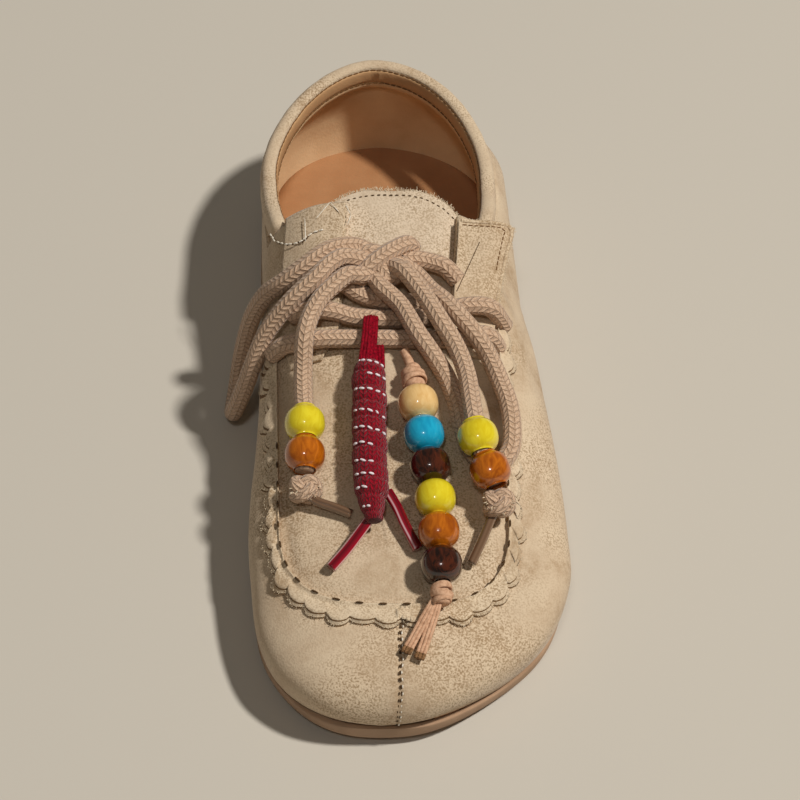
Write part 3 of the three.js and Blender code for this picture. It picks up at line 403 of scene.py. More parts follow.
class Section:
    """Section of the upper's last at y: its plans at the sole and the collar, and its heights."""

    def __init__(self, y, grow):
        stretch = (HEEL_Y - HEEL_START_Y) / (HEEL_Y - HEEL_START_Y - HEEL_SETBACK)
        toe_stretch = (TOE_START_Y - TOE_Y) / (TOE_START_Y - TOE_Y - TOE_SETBACK)
        plan_y = y
        if y > HEEL_START_Y:
            plan_y = HEEL_START_Y + (y - HEEL_START_Y) * stretch
        if y < TOE_START_Y:
            plan_y = TOE_START_Y + (y - TOE_START_Y) * toe_stretch
        self.y = y
        self.medial, self.lateral = outline_at(plan_y, grow + column(PROFILE, "over", y))
        self.collar = collar_outline(plan_y, grow)
        self.tuck = smoothstep(y, TUCK_START_Y, TUCK_END_Y)
        self.foot = sole_top(y) + GAP
        self.crown = crown_at(y, grow)
        self.bulge = min(
            self.foot + column(PROFILE, "bulge", y),
            self.foot + (self.crown - self.foot) * BULGE_LIMIT,
        )
        self.power = column(PROFILE, "power", y)

    def edges(self, side, z):
        """Edge on one side and the middle of the section at the height z."""
        share = self.tuck * smoothstep(z, self.bulge, TUCK_HEIGHT)
        medial = mix(self.medial, self.collar[0], share)
        lateral = mix(self.lateral, self.collar[1], share)
        return (medial if side < 0 else lateral), (medial + lateral) / 2

    def point(self, side, share):
        """Point of the section: side is -1 or 1, share is 0 at the foot and 1 at the crown."""
        if share < LOWER_SHARE:
            edge, centre = self.edges(side, 0)
            t = share / LOWER_SHARE
            turn = 1 - math.sin(math.pi / 2 * t)
            x = edge - min(FEATHER_INSET, abs(edge - centre) * FEATHER_LIMIT) * side * turn
            along = FEATHER_INSET * turn * end_share(self.y)
            z = mix(sole_top(self.y + along) + GAP, self.bulge, t)
        else:
            angle = math.pi / 2 * (share - LOWER_SHARE) / (1 - LOWER_SHARE)
            z = mix(self.bulge, self.crown, math.sin(angle) ** (2 / self.power))
            edge, centre = self.edges(side, z)
            x = centre + (edge - centre) * max(0, math.cos(angle)) ** (2 / self.power)
            along = 0
        return Vector((x + lean_at(self.y, z), self.y + along + heel_shift(self.y, z), z))

    def share_at_height(self, z):
        if z <= self.bulge:
            return LOWER_SHARE * (z - self.foot) / (self.bulge - self.foot)
        rise = min(1, (z - self.bulge) / (self.crown - self.bulge))
        angle = math.asin(rise ** (self.power / 2))
        return LOWER_SHARE + (1 - LOWER_SHARE) * angle / (math.pi / 2)

    def share_at_x(self, side, x):
        low, high = LOWER_SHARE, 1
        for _ in range(HALVINGS):
            share = (low + high) / 2
            if (self.point(side, share).x - x) * side > 0:
                low = share
            else:
                high = share
        return low


def surface_height(x, y, grow=0):
    """Height of the upper's surface over the point x, y, grown by grow."""
    section = Section(y, grow)
    height = section.crown
    for _ in range(HEIGHT_ROUNDS):
        centre = section.edges(1, height)[1]
        offset = x - lean_at(y, height) - centre
        half = section.edges(-1 if offset < 0 else 1, height)[0] - centre
        share = round_end(abs(offset / half), section.power) if half else 0
        height = mix(section.bulge, section.crown, share)
    return height


def stations(toe_y, heel_y, toe_count, middle_ys, heel_count):
    """Places along the foot from the toe to the heel, close together at both round ends."""
    toe = [
        toe_y + (TOE_START_Y - toe_y) * (1 - math.cos(math.pi / 2 * i / toe_count))
        for i in range(toe_count)
    ]
    heel = [
        heel_y - (heel_y - HEEL_START_Y) * (1 - math.cos(math.pi / 2 * i / heel_count))
        for i in range(heel_count)
    ]
    return toe + middle_ys + heel[::-1]


def spread(start, end, count):
    """count + 1 even values from start to end."""
    return [start + (end - start) * i / count for i in range(count + 1)]


# Meshes and pieces

def in_metres(point):
    """A point in millimetres, moved so that the origin is under the shoe, in metres."""
    return Vector((point[0] - ORIGIN_X, point[1], point[2])) * MM


def new_object(name, points, faces):
    mesh = bpy.data.meshes.new(name)
    mesh.from_pydata([in_metres(p) for p in points], [], faces)
    mesh.update()
    for polygon in mesh.polygons:
        polygon.use_smooth = True
    thing = bpy.data.objects.new(name, mesh)
    bpy.context.scene.collection.objects.link(thing)
    return thing


def finish_piece(thing, slot, materials, *nodes):
    """Dress a piece, let it ride on the shoe and hide the CAD nodes that it stands for."""
    for material in materials:
        thing.data.materials.append(material)
    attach(thing, "root")
    if nodes:
        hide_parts(*nodes)
    return thing


def apply_modifiers(thing):
    depsgraph = bpy.context.evaluated_depsgraph_get()
    mesh = bpy.data.meshes.new_from_object(thing.evaluated_get(depsgraph))
    thing.modifiers.clear()
    old = thing.data
    thing.data = mesh
    bpy.data.meshes.remove(old)


MERGE_DISTANCE = 0.01


def clean(thing):
    """Merge points closer than the merge distance and turn the faces outwards."""
    mesh = bmesh.new()
    mesh.from_mesh(thing.data)
    loose = [vert for vert in mesh.verts if not vert.link_faces]
    bmesh.ops.delete(mesh, geom=loose, context="VERTS")
    bmesh.ops.remove_doubles(mesh, verts=mesh.verts, dist=MERGE_DISTANCE * MM)
    bmesh.ops.dissolve_degenerate(mesh, edges=mesh.edges, dist=MERGE_DISTANCE * MM)
    bmesh.ops.recalc_face_normals(mesh, faces=mesh.faces)
    for face in mesh.faces:
        face.smooth = True
    mesh.to_mesh(thing.data)
    mesh.free()


def turns(count):
    """Angles of even steps round a circle."""
    return [2 * math.pi * k / count for k in range(count)]


def ring(centre, side, up, wide, tall, count):
    """Closed ring of points round a centre."""
    return [centre + side * (wide * math.cos(a)) + up * (tall * math.sin(a)) for a in turns(count)]


# Places along a stitch and its thickness there
STITCH_PROFILE = ((0, 0.45), (0.25, 1), (0.75, 1), (1, 0.45))
STITCH_SIDES = 6


class Shape:
    """Points and faces gathered for one mesh, with a material number and a lay for each face.

    The lay is a flat coordinate that weaves and stripes follow: the share of a turn round
    a cord, and the distance along it in millimetres.
    """

    def __init__(self):
        self.points = []
        self.faces = []
        self.looks = []
        self.lays = []

    def grid(self, rows, closed_across=False, closed_along=False, look=0, spacing=1):
        """Faces between rows of points. look may be a function of the row and the column."""
        start = len(self.points)
        count = len(rows[0])
        for row in rows:
            self.points.extend(row)
        last_row = len(rows) if closed_along else len(rows) - 1
        last_column = count if closed_across else count - 1
        for r in range(last_row):
            below = start + r * count
            above = start + ((r + 1) % len(rows)) * count
            for c in range(last_column):
                n = (c + 1) % count
                self.faces.append((below + c, below + n, above + n, above + c))
                self.looks.append(look(r, c) if callable(look) else look)
                u, w = c / count, (c + 1) / count
                v, x = r * spacing, (r + 1) * spacing
                self.lays.append(((u, v), (w, v), (w, x), (u, x)))
        return start

    def cap(self, start, count, look=0):
        self.faces.append(tuple(range(start, start + count)))
        self.looks.append(look)
        self.lays.append(((0, 0),) * count)

    def loft(self, rings, look=0, spacing=1):
        """Closed solid through closed rings, with flat ends."""
        start = self.grid(rings, closed_across=True, look=look, spacing=spacing)
        count = len(rings[0])
        self.cap(start, count, look(0, 0) if callable(look) else look)
        last = len(rings) - 1
        self.cap(start + count * last, count, look(last - 1, 0) if callable(look) else look)

    def capsule(self, start, end, radius):
        """Small rod with tapered ends, such as a stitch."""
        path = [start.lerp(end, t) for t, _ in STITCH_PROFILE]
        rings = []
        for centre, (_, size), (side, up, _) in zip(path, STITCH_PROFILE, frames_along(path)):
            rings.append(ring(centre, side, up, radius * size, radius * size, STITCH_SIDES))
        self.loft(rings)

    def build(self, name):
        thing = new_object(name, self.points, self.faces)
        thing.data.polygons.foreach_set("material_index", self.looks)
        layer = thing.data.uv_layers.new(name="lay")
        flat = [value for lay in self.lays for pair in lay for value in pair]
        layer.data.foreach_set("uv", flat)
        return thing


def route_point(points, place):
    """Point of a centripetal Catmull-Rom curve: place 2.5 is half way from point 2 to 3."""
    last = len(points) - 1
    i = min(int(place), last - 1)
    t = place - i
    p1 = Vector(points[i])
    p2 = Vector(points[i + 1])
    p0 = Vector(points[i - 1]) if i > 0 else 2 * p1 - p2
    p3 = Vector(points[i + 2]) if i + 2 <= last else 2 * p2 - p1
    d0 = (p1 - p0).length ** 0.5
    d1 = (p2 - p1).length ** 0.5
    d2 = (p3 - p2).length ** 0.5
    start = ((p1 - p0) / d0 - (p2 - p0) / (d0 + d1) + (p2 - p1) / d1) * d1
    end = ((p2 - p1) / d1 - (p3 - p1) / (d1 + d2) + (p3 - p2) / d2) * d1
    bend = -3 * p1 + 3 * p2 - 2 * start - end
    twist = 2 * p1 - 2 * p2 + start + end
    return p1 + start * t + bend * t**2 + twist * t**3


# Short straight steps from one point of a route to the next, before they are evened out
ROUTE_DETAIL = 20


def smooth_route(points, spacing):
    """Evenly spaced points along the smooth curve through points."""
    steps = (len(points) - 1) * ROUTE_DETAIL
    fine = [route_point(points, k / ROUTE_DETAIL) for k in range(steps + 1)]
    travelled = [0]
    for a, b in zip(fine, fine[1:]):
        travelled.append(travelled[-1] + (b - a).length)
    count = max(2, round(travelled[-1] / spacing))
    path = []
    k = 0
    for i in range(count + 1):
        target = travelled[-1] * i / count
        while k < len(fine) - 2 and travelled[k + 1] < target:
            k += 1
        t = (target - travelled[k]) / (travelled[k + 1] - travelled[k])
        path.append(fine[k].lerp(fine[k + 1], min(1, t)))
    return path


def route_length(path):
    return sum((b - a).length for a, b in zip(path, path[1:]))


def frames_along(path, hint=UP):
    """Side and up directions at each point of a path, turned as little as possible."""
    result = []
    up = hint
    for i in range(len(path)):
        along = (path[min(i + 1, len(path) - 1)] - path[max(i - 1, 0)]).normalized()
        up = (up - along * up.dot(along)).normalized()
        result.append((along.cross(up), up, along))
    return result


def tube_rings(path, radius, sides, relief=None):
    """Rings round a path. relief(travelled, angle) adds to the radius."""
    rings = []
    travelled = 0
    for i, (centre, (side, up, _)) in enumerate(zip(path, frames_along(path))):
        if i:
            travelled += (centre - path[i - 1]).length
        size = radius(travelled) if callable(radius) else radius
        spots = []
        for angle in turns(sides):
            r = size + (relief(travelled, angle) if relief else 0)
            spots.append(centre + side * (r * math.cos(angle)) + up * (r * math.sin(angle)))
        rings.append(spots)
    return rings


# Materials

def linear(red, green, blue):
    """Scene colour of an sRGB colour given as 0 to 255."""
    values = []
    for value in (red, green, blue):
        v = value / 255
        values.append(v / 12.92 if v <= 0.04045 else ((v + 0.055) / 1.055) ** 2.4)
    return (*values, 1)


class Finish:
    """A node material: one Principled shader fed by patterns in the object's own space."""

    def __init__(self, name, **values):
        self.material = bpy.data.materials.new(name)
        self.material.use_nodes = True
        tree = self.material.node_tree
        tree.nodes.clear()
        self.nodes = tree.nodes
        self.links = tree.links
        output = self.nodes.new("ShaderNodeOutputMaterial")
        self.shader = self.nodes.new("ShaderNodeBsdfPrincipled")
        self.links.new(self.shader.outputs["BSDF"], output.inputs["Surface"])
        self.place = self.nodes.new("ShaderNodeTexCoord").outputs["Object"]
        for key, value in values.items():
            self.shader.inputs[key.replace("_", " ").title()].default_value = value

    def link(self, value, socket):
        if isinstance(value, bpy.types.NodeSocket):
            self.links.new(value, socket)
        else:
            socket.default_value = value

    def stretched(self, x=1, y=1, z=1, vector=None):
        node = self.nodes.new("ShaderNodeMapping")
        node.inputs["Scale"].default_value = (x, y, z)
        self.links.new(vector or self.place, node.inputs["Vector"])
        return node.outputs["Vector"]

    def lay(self):
        """The mesh's own flat coordinate: share of a turn, and millimetres along."""
        node = self.nodes.new("ShaderNodeUVMap")
        node.uv_map = "lay"
        split = self.nodes.new("ShaderNodeSeparateXYZ")
        self.links.new(node.outputs["UV"], split.inputs["Vector"])
        return split.outputs["X"], split.outputs["Y"]

    def noise(self, size, detail=3, roughness=0.55, distortion=0, vector=None):
        """Noise whose blotches are about size millimetres across."""
        node = self.nodes.new("ShaderNodeTexNoise")
        node.inputs["Scale"].default_value = 1 / (size * MM)
        node.inputs["Detail"].default_value = detail
        node.inputs["Roughness"].default_value = roughness
        node.inputs["Distortion"].default_value = distortion
        self.links.new(vector or self.place, node.inputs["Vector"])
        return node.outputs["Fac"]

    def cells(self, size):
        node = self.nodes.new("ShaderNodeTexVoronoi")
        node.inputs["Scale"].default_value = 1 / (size * MM)
        self.links.new(self.place, node.inputs["Vector"])
        return node.outputs["Distance"]

    def math(self, operation, a, b=0.0):
        node = self.nodes.new("ShaderNodeMath")
        node.operation = operation
        self.link(a, node.inputs[0])
        self.link(b, node.inputs[1])
        return node.outputs["Value"]

    def ramp(self, value, *stops):
        """Colour or grey by value: stops are (position, colour)."""
        node = self.nodes.new("ShaderNodeValToRGB")
        elements = node.color_ramp.elements
        elements.remove(elements[1])
        for i, (position, colour) in enumerate(stops):
            element = elements[0] if i == 0 else elements.new(position)
            element.position = position
            element.color = colour if hasattr(colour, "__len__") else (colour, colour, colour, 1)
        self.links.new(value, node.inputs["Fac"])
        return node.outputs["Color"]

    def blend(self, amount, a, b):
        node = self.nodes.new("ShaderNodeMix")
        node.data_type = "RGBA"
        self.link(amount, node.inputs[0])
        self.link(a, node.inputs[6])
        self.link(b, node.inputs[7])
        return node.outputs[2]

    def bump(self, height, depth, under=None):
        """Normal of a height from 0 to 1 that stands for depth millimetres."""
        node = self.nodes.new("ShaderNodeBump")
        node.inputs["Distance"].default_value = depth * MM
        self.link(height, node.inputs["Height"])
        if under:
            self.links.new(under, node.inputs["Normal"])
        return node.outputs["Normal"]

    def color(self, value):
        self.link(value, self.shader.inputs["Base Color"])

    def normal(self, value):
        self.link(value, self.shader.inputs["Normal"])


def suede_finish(name, light, middle, dark, grain_size=0.6):
    """Napped suede: wide patches, soft nap and a fine grain that fades where it is worn smooth."""
    finish = Finish(name, roughness=0.95, sheen_weight=0.15, sheen_roughness=0.5)
    finish.shader.inputs["Specular IOR Level"].default_value = 0.12
    patches = finish.noise(size=22, detail=4, distortion=0.7)
    rough = finish.ramp(finish.noise(size=30, detail=2), (0.4, 0.2), (0.58, 1.0))
    nap = finish.noise(size=2.6, detail=4, roughness=0.65)
    grain = finish.noise(grain_size, detail=1, roughness=0.5)
    base = finish.ramp(patches, (0.34, dark), (0.47, middle), (0.64, light))
    lit = finish.blend(finish.ramp(nap, (0.42, 0.0), (0.62, 0.5)), base, light)
    speck = (dark[0] * 0.74, dark[1] * 0.7, dark[2] * 0.62, 1)
    low = finish.math("MULTIPLY", finish.ramp(grain, (0.36, 0.8), (0.5, 0.0)), rough)
    worn = finish.blend(low, lit, speck)
    pale = tuple(min(1, value * 1.14) for value in light[:3]) + (1,)
    high = finish.math("MULTIPLY", finish.ramp(grain, (0.5, 0.0), (0.64, 0.75)), rough)
    finish.color(finish.blend(high, worn, pale))
    soft = finish.math("MULTIPLY", nap, 0.5)
    height = finish.math("ADD", soft, finish.math("MULTIPLY", grain, 0.6))
    finish.normal(finish.bump(height, 0.22))
    return finish.material


def leather_finish(name, light, dark, pore_depth=0.5):
    finish = Finish(name, roughness=0.62)
    blotches = finish.noise(16, detail=4)
    base = finish.ramp(blotches, (0.3, dark), (0.7, light))
    pore = finish.cells(1.3)
    finish.color(finish.blend(finish.ramp(pore, (0.06, pore_depth), (0.2, 0.0)), base, dark))
    finish.normal(finish.bump(finish.noise(0.9, detail=3), 0.12))
    return finish.material


def rubber_finish():
    finish = Finish("rubber_sole", roughness=0.75)
    wear = finish.noise(14, detail=5)
    finish.color(finish.ramp(wear, (0.3, linear(160, 130, 104)), (0.7, linear(184, 152, 124))))
    finish.normal(finish.bump(finish.noise(0.8, detail=4), 0.1))
    return finish.material


def plain_finish(name, light, dark, size=0.5, roughness=0.85, coat=0.0):
    finish = Finish(name, roughness=roughness, coat_weight=coat, coat_roughness=0.06)
    strand = finish.noise(size, detail=3)
    finish.color(finish.ramp(strand, (0.35, dark), (0.6, light)))
    finish.normal(finish.bump(strand, 0.12))
    return finish.material


# Rise of a strand across its column of the braid, as a share of the lay, up and down in turn
BRAID_LEAN = 0.75


def braid_finish(name, light, dark, gap_shade, strands, lay_length, depth):
    """Round braid: columns of strands that lean left and right in turn, with painted shade darkening
    the gaps between them.
    """
    finish = Finish(name, roughness=0.85, sheen_weight=0.2)
    around, along = finish.lay()
    columns = finish.math("MULTIPLY", around, float(strands))
    halves = finish.math("MULTIPLY", finish.math("FLOOR", columns), 0.5)
    odd = finish.math("MULTIPLY", finish.math("FRACT", halves), 2.0)
    lean = finish.math("SUBTRACT", finish.math("MULTIPLY", odd, 2.0 * BRAID_LEAN), BRAID_LEAN)
    inside = finish.math("SUBTRACT", finish.math("FRACT", columns), 0.5)
    slant = finish.math("MULTIPLY", inside, lean)
    rise = finish.math("ADD", finish.math("DIVIDE", along, lay_length), slant)

    def arch(value, power):
        wave = finish.math("SINE", finish.math("MULTIPLY", finish.math("FRACT", value), math.pi))
        return finish.math("POWER", wave, power)

    height = finish.math("MULTIPLY", arch(columns, 0.45), arch(rise, 0.6))
    yarn = finish.noise(0.45, detail=3)
    base = finish.ramp(yarn, (0.35, dark), (0.62, light))
    # Painted shade: where the relief is low, between the strands, the colour turns to the gap shade
    # colour.
    finish.color(finish.blend(finish.ramp(height, (0.06, 0.8), (0.42, 0.0)), base, gap_shade))
    woven = finish.bump(height, depth)
    finish.normal(finish.bump(yarn, 0.1, woven))
    return finish.material


def striped_finish(name, *stops):
    """Clear glossy sleeve over straight coloured threads."""
    finish = Finish(name, roughness=0.2, coat_weight=1.0, coat_roughness=0.04)
    around, _ = finish.lay()
    stripes = finish.math("FRACT", finish.math("MULTIPLY", around, 3.0))
    finish.color(finish.ramp(stripes, *stops))
    return finish.material


def bead_finish(name, light, dark, low=0.35, high=0.65, size=2.6):
    finish = Finish(name, roughness=0.22, coat_weight=0.8, coat_roughness=0.05)
    lines = finish.noise(size, detail=5, distortion=1.4, vector=finish.stretched(1, 0.3, 1))
    finish.color(finish.ramp(lines, (low, dark), (high, light)))
    finish.normal(finish.bump(finish.noise(3.5, detail=2), 0.06))
    return finish.material


SUEDE = suede_finish("suede", linear(209, 188, 160), linear(198, 175, 147), linear(178, 152, 122))
TONGUE_SUEDE = suede_finish(
    "suede_tongue", linear(214, 195, 171), linear(203, 183, 158), linear(186, 163, 136), 0.62
)
EDGE_SUEDE = suede_finish(
    "suede_edge", linear(216, 196, 168), linear(203, 181, 152), linear(182, 156, 125)
)
# Dark cut edges of the scallops: partly the raw edge's own colour, partly painted shade under each
# scallop.
CUT_EDGE_AND_SHADE = plain_finish("suede_cut_edge_and_shade", linear(128, 96, 62), linear(78, 54, 30))
BINDING = leather_finish("collar_binding", linear(206, 164, 120), linear(186, 144, 102), 0.1)
LINING = leather_finish("lining", linear(228, 194, 152), linear(212, 174, 132))
INSOLE_COVER = leather_finish("insole_cover", linear(176, 129, 90), linear(162, 114, 76), 0.08)
RUBBER = rubber_finish()
# The lace braid's third colour is painted shade for the gaps between its strands.
BRAID = braid_finish(
    "lace_braid", linear(216, 186, 158), linear(180, 146, 118), linear(140, 106, 78), 10, 1.95, 0.4
)
THONG_SUEDE = plain_finish("thong_suede", linear(216, 174, 142), linear(184, 142, 112), 1.1)
THONG_END = plain_finish("thong_end", linear(150, 112, 78), linear(96, 70, 44), 0.6)
# The red cord's third colour is painted shade for the gaps between its strands.
RED_CORD = braid_finish(
    "red_cord", linear(158, 10, 34), linear(104, 4, 20), linear(44, 0, 8), 26, 1.7, 0.4
)
RED_STRAND = plain_finish("red_strand", linear(156, 12, 36), linear(90, 2, 16), 0.6, 0.7)
WHITE_FLECK = plain_finish("white_fleck", linear(246, 238, 240), linear(222, 205, 210), 0.6, 0.6)
RED_SLEEVE = striped_finish(
    "red_sleeve", (0.0, linear(120, 8, 28)), (0.3, linear(165, 14, 40)), (0.42, linear(238, 200, 205)),
    (0.55, linear(150, 10, 34)), (0.8, linear(90, 4, 18)), (1.0, linear(120, 8, 28)),
)
AGLET = striped_finish(
    "aglet", (0.0, linear(104, 78, 58)), (0.35, linear(134, 104, 80)), (0.5, linear(88, 64, 46)),
    (0.8, linear(120, 92, 70)), (1.0, linear(104, 78, 58)),
)
# Dark thread for stitches and pricks; it also draws the flap's crease line, which is painted shade.
DARK_THREAD_AND_SHADE = plain_finish("dark_thread_and_shade", linear(96, 72, 46), linear(58, 40, 24))
BROWN_THREAD = plain_finish("brown_thread", linear(132, 96, 60), linear(92, 62, 36))
LIGHT_THREAD = plain_finish("light_thread", linear(244, 238, 226), linear(214, 200, 176))
FUZZ = plain_finish("fuzz", linear(234, 220, 194), linear(204, 182, 150))
BEAD_FINISHES = {
    "bead_yellow": bead_finish("bead_yellow", linear(232, 214, 48), linear(218, 194, 28)),
    "bead_amber": bead_finish("bead_amber", linear(196, 108, 20), linear(152, 74, 8)),
    "bead_brown": bead_finish("bead_brown", linear(78, 34, 18), linear(30, 14, 10), 0.42, 0.62),
    "bead_turquoise": bead_finish("bead_turquoise", linear(30, 172, 208), linear(18, 150, 190)),
    "bead_natural": bead_finish("bead_natural", linear(240, 202, 140), linear(226, 182, 116)),
}


# Small parts that are gathered first and joined into one mesh of each kind

THREAD_LOOKS = {"dark": DARK_THREAD_AND_SHADE, "brown": BROWN_THREAD, "light": LIGHT_THREAD, "fuzz": FUZZ}
threads = {kind: Shape() for kind in THREAD_LOOKS}
chance = random.Random(7)


ROPE_STEP = 0.6


def add_rope(shape, points, radius, spacing, sides):
    """Round rope along a route, added to a shape; returns the path that it follows."""
    path = smooth_route(points, spacing)
    step = route_length(path) / (len(path) - 1)
    shape.loft(tube_rings(path, radius, sides), spacing=step)
    return path


def dash_row(kind, path, pitch, length, radius, wobble=0.0):
    """Short dashes along a path that lies on a surface: stitches, and on the turned-out flap a crease
    line of painted shade.
    """
    route = smooth_route(path, pitch)
    for a, b in zip(route, route[1:]):
        middle = (a + b) / 2
        half = (b - a).normalized() * (length / 2)
        aside = Vector((chance.uniform(-1, 1), chance.uniform(-1, 1), 0)) * wobble
        middle = middle + aside
        threads[kind].capsule(middle - half, middle + half, radius)


FIBRE_RADIUS = 0.09


def fuzz_row(path, out, pitch, length):
    """Short raised fibres along a raw edge; out gives the edge's outward direction."""
    for spot in smooth_route(path, pitch):
        base = spot + Vector([chance.gauss(0, 0.25) for _ in range(3)])
        aim = out(spot) + UP * chance.uniform(-0.1, 0.5)
        aim += Vector([chance.gauss(0, 0.6) for _ in range(3)])
        tip = base + aim.normalized() * (length * chance.uniform(0.4, 1.1))
        threads["fuzz"].capsule(base, tip, FIBRE_RADIUS)


def build_threads():
    for kind, shape in threads.items():
        finish_piece(shape.build(f"{kind}_threads"), "suede", [THREAD_LOOKS[kind]])


# Upper

def apron_point(s, side_inset=0, toe_inset=0):
    """Plan point of the apron line, for s from the medial back through 0.5 at the toe."""
    side = RIM_MEDIAL_X + side_inset if s < 0.5 else RIM_LATERAL_X - side_inset
    toe_reach = RIM_START_Y - RIM_TIP_Y - toe_inset
    straight = RIM_BACK_Y - RIM_START_Y
    share = straight / (straight + toe_reach * RIM_BEND_STRETCH)
    t = s * 2 if s < 0.5 else (1 - s) * 2
    if t < share:
        return Vector((side, RIM_BACK_Y - straight * t / share))
    angle = math.pi / 2 * (t - share) / (1 - share)
    power = 2 / RIM_POWER
    return Vector((
        RIM_TIP_X + (side - RIM_TIP_X) * max(0, math.cos(angle)) ** power,
        RIM_START_Y - toe_reach * math.sin(angle) ** power,
    ))


def throat_edge(side, y):
    edge = THROAT_MEDIAL if side < 0 else THROAT_LATERAL
    return mix(edge["front"], edge["back"], (y - THROAT_FRONT_Y) / (COLLAR_FRONT_Y - THROAT_FRONT_Y))


def collar_share(section):
    """Share of a section's side where the quarter ends under the collar, or where it would."""
    y = max(section.y, THROAT_FRONT_Y)
    at = section if y == section.y else Section(y, 0)
    return at.share_at_height(column(TOPLINE, "height", y) - COLLAR_HEIGHT)


def throat_share(section, side):
    y = min(max(section.y, THROAT_FRONT_Y), COLLAR_FRONT_Y)
    at = section if y == section.y else Section(y, 0)
    return at.share_at_x(side, throat_edge(side, y))


# Creases of the suede: a route on the last, the width and the height of a ridge or trough
CREASES = [
    # the apron's seam, sunk on both sides and round the toe
    ([(-34.4, -8, 44), (-34.6, -40, 38), (-34.2, -62, 34)], 2.2, -0.9),
    ([(-34.2, -62, 34), (-31, -82, 31), (-20, -92, 31.5), (0, -95, 32), (20, -94, 32),
      (31, -86, 32), (35.4, -68, 35)], 2.6, -0.9),
    ([(35.4, -68, 35), (36, -40, 40), (35.6, -14, 44)], 2.2, -0.9),
    # soft dents of the plug and the vamp
    ([(-26, -66, 38), (-14, -72, 38), (-2, -70, 39)], 6, -0.8),
    ([(22, -72, 38), (27, -60, 41), (29, -44, 43)], 5, -0.6),
    ([(-40, -70, 24), (-36, -92, 22), (-27, -108, 20)], 7, -0.7),
    ([(50, -70, 22), (46, -92, 22), (36, -106, 20)], 8, 0.7),
    ([(46, -20, 34), (49, -44, 30), (50, -62, 28)], 6, -0.8),
    # creases where the quarter turns into the throat
    ([(40, 34, 44), (44, 18, 40), (47, 0, 36), (50, -16, 30)], 5, -1.1),
    ([(-36, 36, 48), (-38.5, 22, 42), (-40, 4, 36)], 4.5, -0.9),
    ([(-38, 60, 34), (-39.5, 44, 30), (-40, 26, 24)], 5, -0.7),
    ([(39, 62, 34), (42, 44, 30), (46, 26, 26)], 5, -0.8),
    # the heel counter's soft upper edge
    ([(-33, 92, 30), (-18, 114, 30), (2, 121, 30), (20, 114, 30), (34, 92, 30)], 3.5, 0.5),
    # the toe's centre seam
    ([(1.7, -100, 31.4), (1.2, -108, 30.6), (1.2, -114, 29.4), (0.9, -120.2, 26), (0.6, -124, 20.4),
      (0.3, -125, 12)], 0.9, -0.4),
]


def crease_relief(points):
    """Height of the hand-placed creases at each point, in millimetres."""
    spots = np.array([tuple(p) for p in points])
    height = np.zeros(len(spots))
    for route, width, depth in CREASES:
        line = np.array([tuple(p) for p in smooth_route(route, width * 0.4)])
        nearest = np.full(len(spots), 1e9)
        where = np.zeros(len(spots))
        for i, spot in enumerate(line):
            distance = np.sum((spots - spot) ** 2, axis=1)
            closer = distance < nearest
            nearest[closer] = distance[closer]
            where[closer] = i / (len(line) - 1)
        fade = np.minimum(1, np.minimum(where, 1 - where) * 6 + 0.25)
        height += depth * fade * np.exp(-nearest / width**2)
    return height


# Steps of the upper's mesh: up to the collar, on to the throat's edge, and across the top
UPPER_LOW_STEPS = 34
UPPER_HIGH_STEPS = 20
UPPER_TOP_STEPS = 80
# Stations along the foot
UPPER_STATIONS = {"toe": 62, "vamp": 52, "throat": 38, "collar": 34, "heel": 40}


def make_upper():
    count = UPPER_STATIONS
    middle = (
        spread(TOE_START_Y, THROAT_FRONT_Y, count["vamp"])
        + spread(THROAT_FRONT_Y, COLLAR_FRONT_Y, count["throat"])[1:]
        + spread(COLLAR_FRONT_Y, HEEL_START_Y, count["collar"])[1:]
    )
    front = TOE_Y + TOE_SETBACK - NOSE_REACH
    ys = stations(front, HEEL_Y - HEEL_SETBACK, count["toe"], middle, count["heel"])
    rows = []
    for y in ys:
        section = Section(y, 0)
        sides = {}
        low = collar_share(section)
        for side in (-1, 1):
            high = max(throat_share(section, side), low + 0.01)
            shares = spread(0, low, UPPER_LOW_STEPS) + spread(low, high, UPPER_HIGH_STEPS)[1:]
            sides[side] = shares, high
        medial = [section.point(-1, s) for s in sides[-1][0]]
        lateral = [section.point(1, s) for s in sides[1][0]]
        across = []
        for i in range(1, UPPER_TOP_STEPS):
            t = i / UPPER_TOP_STEPS * 2
            side = -1 if t <= 1 else 1
            start = sides[side][1]
            across.append(section.point(side, mix(start, 1, t if t <= 1 else 2 - t)))
        rows.append(medial + across + lateral[::-1])
    width = len(rows[0])
    faces = []
    for r in range(len(rows) - 1):
        y = (ys[r] + ys[r + 1]) / 2
        for c in range(width - 1):
            from_edge = min(c, width - 2 - c)
            in_throat = y > THROAT_FRONT_Y and from_edge >= UPPER_LOW_STEPS + UPPER_HIGH_STEPS
            in_collar = y > COLLAR_FRONT_Y and from_edge >= UPPER_LOW_STEPS
            if not in_throat and not in_collar:
                a = r * width + c
                faces.append((a, a + width, a + width + 1, a + 1))
    upper = new_object("upper_skin", [point for row in rows for point in row], faces)
    clean(upper)
    mesh = upper.data
    spots = [(v.co.x / MM + ORIGIN_X, v.co.y / MM, v.co.z / MM) for v in mesh.vertices]
    for vertex, rise in zip(mesh.vertices, crease_relief(spots)):
        vertex.co += vertex.normal * (rise * MM)
    for material in (SUEDE, LINING, EDGE_SUEDE):
        mesh.materials.append(material)
    wall = upper.modifiers.new("wall", "SOLIDIFY")
    wall.thickness = WALL * MM
    wall.offset = -1
    wall.material_offset = 1
    wall.material_offset_rim = 2
    apply_modifiers(upper)
    return finish_piece(upper, "suede", [], "upper")


